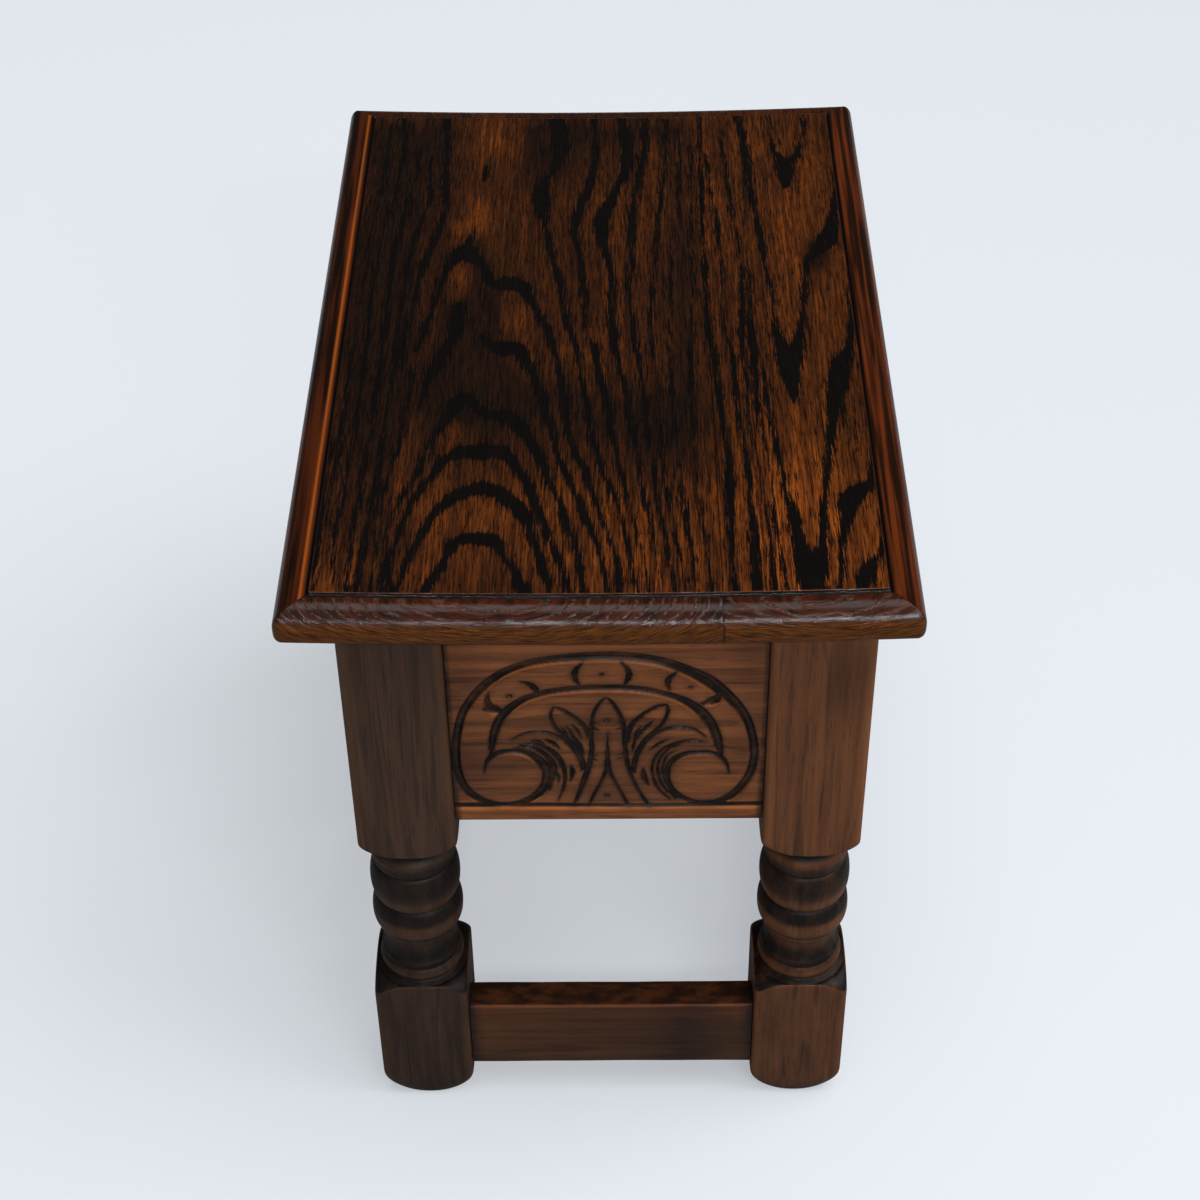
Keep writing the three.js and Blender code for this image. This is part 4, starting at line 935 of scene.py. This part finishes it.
def leg_profile(fine):
    """Heights and radii of the turned body from the floor up."""
    half = LEG_SIDE / 2
    outside = half * math.sqrt(2)
    points = [(22.8, 0.0)]

    def bow_to(radius, height, bow, step):
        start, end = np.array(points[-1]), np.array([radius, height])
        way = end - start
        length = float(np.hypot(*way))
        outward = np.array([way[1], -way[0]]) / length
        count = max(1, int(length / step + 0.5))
        for index in range(1, count + 1):
            angle = math.pi * index / count
            if bow:
                place = start + way * (1 - math.cos(angle)) / 2 + outward * bow * math.sin(angle)
            else:
                place = start + way * index / count
            points.append(tuple(place))

    bow_to(outside, 23.0, half * 0.12, fine)
    bow_to(outside, FOOT_BLOCK, 0, 9.0)
    turned = LEG_HEIGHT - TOP_BLOCK - FOOT_BLOCK
    for height_share, radius_share, bow_share in TURNING:
        bow_to(half * radius_share, FOOT_BLOCK + turned * height_share, half * bow_share, fine)
    low = next(index for index, point in enumerate(points) if point[1] > FOOT_BLOCK + 10)
    turned_body = np.array(points[low - 4:])
    weights = np.array([1, 2, 3, 2, 1]) / 9
    softened = np.column_stack([np.convolve(column, weights, "valid") for column in turned_body.T])
    points[low - 2:-2] = [tuple(place) for place in softened]
    bow_to(outside, LEG_HEIGHT - TOP_BLOCK, half * 0.085, fine)
    bow_to(outside, LEG_HEIGHT, 0, 9.0)
    return np.array(points)


def square_reach(angles, arris):
    half = LEG_SIDE / 2
    cos, sin = np.abs(np.cos(angles)), np.abs(np.sin(angles))
    flat = half / np.maximum(cos, sin)
    inner = half - arris
    along_corner = inner * (cos + sin)
    rounded = along_corner + np.sqrt(np.maximum(along_corner ** 2 - 2 * inner ** 2 + arris ** 2, 0))
    return np.where(np.minimum(cos, sin) * flat > inner, rounded, flat)


def leg_shades(square, radii, heights):
    """Dirt with painted shade, and wear with painted light, of a leg, from how far its turned body lies
    within its square and how high it is.
    """
    turned = smooth_step((square - radii + 0.3) / 0.8)
    # Paler rings: rubbed wax and painted light on the beads' lower sides.
    rubbed_and_lit = ringed(heights, LEG_RUBBED_AND_LIT) * turned
    # The turned body is darkened all over and more in the dark rings, old wax and painted shade, a little
    # less where light is painted on.
    hollow = (ringed(heights, LEG_DARK) + 0.3 * (1 - 0.5 * rubbed_and_lit)) * turned
    corner = smooth_step((square - LEG_SIDE / 2 * 1.27) / 2.0) * (1 - turned) * 0.25
    # Darker towards the floor and over the foot block.
    foot = 0.3 * smooth_step(1 - heights / 16) + 0.26 * smooth_step((FOOT_BLOCK + 12 - heights) / 6)
    dirt_and_shade = np.clip(np.maximum(hollow, foot), 0, 1)
    return {"dirt_and_shade": dirt_and_shade.ravel(), "wear_and_light": (0.2 * rubbed_and_lit + corner).ravel()}


def leg_mesh(name, centre_x, centre_y, around, fine):
    profile = leg_profile(fine)
    radii, heights = profile[:, :1], profile[:, 1:]
    angles = np.linspace(0, 2 * math.pi, around, endpoint=False) + math.pi / 4
    square = square_reach(angles, 3.0)[None, :]
    soft = 1.3 + 4.2 * smooth_step(1 - heights / 26)
    reach = (radii + square - np.sqrt((radii - square) ** 2 + soft ** 2)) / 2
    x, y = centre_x + reach * np.cos(angles), centre_y + reach * np.sin(angles)
    points = np.stack([x, y, np.repeat(np.maximum(heights, 0), around, 1)], -1).reshape(-1, 3)
    return make_mesh(name, points, tube_faces(len(profile), around), leg_shades(square, radii, heights))


def build_legs():
    for front, side_y in (("front", -1), ("back", 1)):
        for end, side_x in (("left", -1), ("right", 1)):
            x = side_x * (HALF_LENGTH - LEG_SIDE / 2)
            y = MIDDLE + side_y * (HALF_WIDTH - LEG_SIDE / 2)
            name = f"leg_{front}_{end}"
            around, fine = (160, 0.8) if end == "right" else (112, 1.1)
            mesh = leg_mesh(f"{name}_oak", x, y, around, fine)
            material = front_upright if front == "front" else back_upright
            add_piece(f"{name}_oak", mesh, material, "frame", "frame_oak", name)


build_legs()


# Stretchers: bars with soft edges


ARC = np.radians(np.linspace(0, 90, 6))


def bar_outline(low, high):
    """A rectangle between two corners with rounded edges."""
    outline = []
    for turn, (a, b) in enumerate([(1, 1), (0, 1), (0, 0), (1, 0)]):
        centre_a = high[0] - STRETCHER_ROUND if a else low[0] + STRETCHER_ROUND
        centre_b = high[1] - STRETCHER_ROUND if b else low[1] + STRETCHER_ROUND
        for angle in ARC + turn * math.pi / 2:
            across, up = STRETCHER_ROUND * math.cos(angle), STRETCHER_ROUND * math.sin(angle)
            outline.append((centre_a + across, centre_b + up))
    return np.array(outline)


def bar_shades(heights, low, high, from_middle, half):
    """Dirt with painted shade, and wear with painted light, of a bar, from its outline's heights and its
    stations' distances from the middle.
    """
    on_edge = np.exp(-(np.tile(np.linspace(-1, 1, len(ARC)), 4) / 0.7) ** 2)[None, :]
    upper = (heights > (low + high) / 2)[None, :]
    top = smooth_step((heights - high + 1.2) / 1.0)[None, :]
    shaded_ends = smooth_step(1 - (half - np.abs(from_middle)) / 6)[:, None]
    smear = np.exp(-((from_middle - 0.55 * half) / 18.0) ** 2)[:, None]
    # Paler upper arrises, real wear with a painted highlight; the top face also takes the rubbed colour as
    # an orange tint.
    wear_and_light = np.maximum(on_edge * upper * 0.6, 0.7 * top) * (1 - shaded_ends)
    # Painted shade on the top face, which lies in the box's shadow, and at the ends where the bar meets the
    # legs; the smear is a real dark smudge.
    dirt_and_shade = np.maximum(0.8 * shaded_ends, np.maximum(0.92 * top * (1 - 0.5 * on_edge), 0.4 * smear))
    return {"dirt_and_shade": dirt_and_shade.ravel(), "wear_and_light": wear_and_light.ravel()}


def bar_mesh(name, node, axis):
    """A bar over a CAD node's box, its length along an axis, with a slightly uneven top and underside."""
    low, high = (np.array(corner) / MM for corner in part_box(node))
    side, upright = 1 - axis, 2
    half, middle = (HALF_WIDTH, MIDDLE) if axis else (HALF_LENGTH, 0.0)
    half -= LEG_SIDE + GAP
    stations = np.linspace(middle - half, middle + half, 41)
    outline = bar_outline((low[side], low[upright]), (high[side], high[upright]))
    points = np.zeros((len(stations), len(outline), 3))
    points[:, :, axis] = stations[:, None]
    points[:, :, side], points[:, :, upright] = outline.T
    wave = 0.12 * np.sin(stations * 0.045 + 1.0) + 0.08 * np.sin(stations * 0.13)
    inward = np.sign((low[upright] + high[upright]) / 2 - outline[:, 1])
    points[:, :, upright] += (0.2 + wave)[:, None] * inward
    values = bar_shades(outline[:, 1], low[upright], high[upright], stations - middle, half)
    return make_mesh(name, points.reshape(-1, 3), tube_faces(len(stations), len(outline)), values)


def build_stretchers():
    for side, axis in (("front", 0), ("back", 0), ("right_end", 1), ("left_end", 1)):
        name = f"stretcher_{side}"
        mesh = bar_mesh(f"{name}_oak", name, axis)
        material = oak_long if axis == 0 else oak_cross
        add_piece(f"{name}_oak", mesh, material, "frame", "frame_oak", name)


build_stretchers()


def dress(node, material):
    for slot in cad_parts[node].material_slots:
        slot.material = material


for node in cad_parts:
    if "screw" in node and node.startswith("batten"):
        dress(node, steel)
    elif node.startswith("hinge"):
        dress(node, brass)
    elif node.startswith("bottom_board") or node in ("batten_front", "batten_back"):
        dress(node, inside_long)
    elif node.startswith("batten"):
        dress(node, inside_cross)


# Stage: a plain pale floor, soft lamps and the camera


PALE, TABLE = srgb(222, 227, 233), srgb(142, 142, 142)
FLOOR_HALF, FLOOR_DROP = 4.0, 0.0005
SHADOW_SOFTENING = 0.5
ROOM_TINT = (0.95, 0.97, 1.0, 1.0)
ROOM_DIM, ROOM_BRIGHT = 0.03, 0.3


def pale_floor():
    """The photograph's pale ground: it takes a softened shadow, and only the camera sees it this pale."""
    p = Paint(bpy.data.materials.new("pale_floor"))
    seen = p.add("ShaderNodeLightPath").outputs["Is Camera Ray"]
    matt = p.add("ShaderNodeBsdfDiffuse", {"Color": p.mix(seen, TABLE, PALE)}).outputs[0]
    even = p.add("ShaderNodeEmission", {"Color": PALE}).outputs[0]
    even_share = p.math("MULTIPLY", seen, SHADOW_SOFTENING)
    return p.cover(p.add("ShaderNodeMixShader", {0: even_share, 1: matt, 2: even}))


def build_stage():
    mesh = bpy.data.meshes.new("floor")
    corners = [(x * FLOOR_HALF, y * FLOOR_HALF, 0) for x, y in ((-1, -1), (1, -1), (1, 1), (-1, 1))]
    mesh.from_pydata(corners, [], [(0, 1, 2, 3)])
    mesh.materials.append(pale_floor())
    floor = put_in_scene("floor", mesh)
    floor.location.z = -FLOOR_DROP


def add_lamp(name, place, target, size, power):
    lamp = bpy.data.lights.new(name, "AREA")
    lamp.shape = "RECTANGLE"
    lamp.size, lamp.size_y = size
    lamp.energy = power
    holder = put_in_scene(name, lamp)
    holder.location = place
    way = Vector(target) - Vector(place)
    holder.rotation_euler = way.to_track_quat("-Z", "Y").to_euler()


def add_sun(name, way, angle, strength, mirrored=True):
    lamp = bpy.data.lights.new(name, "SUN")
    lamp.angle = math.radians(angle)
    lamp.energy = strength
    holder = put_in_scene(name, lamp)
    holder.rotation_euler = Vector(way).to_track_quat("Z", "Y").to_euler()
    holder.visible_glossy = mirrored


def build_world():
    """A dim room, darker behind the box than on the camera's side, of which the camera sees a pale wall."""
    world = bpy.data.worlds.new("studio")
    bpy.context.scene.world = world
    p = Paint(world, "ShaderNodeOutputWorld", "Generated")
    forward = p.add("ShaderNodeSeparateXYZ", {0: p.place}).outputs[0]
    strength = p.ease(forward, -0.5, 0.9, ROOM_DIM, ROOM_BRIGHT)
    room = p.add("ShaderNodeBackground", {"Color": ROOM_TINT, "Strength": strength}).outputs[0]
    backdrop = p.add("ShaderNodeBackground", {"Color": PALE}).outputs[0]
    seen = p.add("ShaderNodeLightPath").outputs["Is Camera Ray"]
    p.cover(p.add("ShaderNodeMixShader", {0: seen, 1: room, 2: backdrop}))


build_stage()
build_world()
add_sun("overhead", (0.15, 0.1, 1.0), 46.0, 1.55, mirrored=False)
add_sun("key", (0.0, 0.75, 0.8), 44.0, 1.5)
add_lamp("strip", (1.5, 0.35, 1.52), (0.2, 0.05, 0.38), (1.1, 0.03), 13.0)
add_lamp("ceiling", (-0.24, 0.1, 1.8), (0.22, 0.0, 0.38), (1.4, 0.6), 4.0)

camera_data = bpy.data.cameras.new("camera")
camera_data.sensor_width = SENSOR_WIDTH
camera_data.lens = SENSOR_WIDTH * FOCAL_PIXELS / PHOTO_SIDE
camera = put_in_scene("camera", camera_data)
camera.location = CAMERA_AT
camera.rotation_euler = CAMERA_TURN
bpy.context.scene.camera = camera
bpy.context.scene.view_settings.view_transform = "Standard"
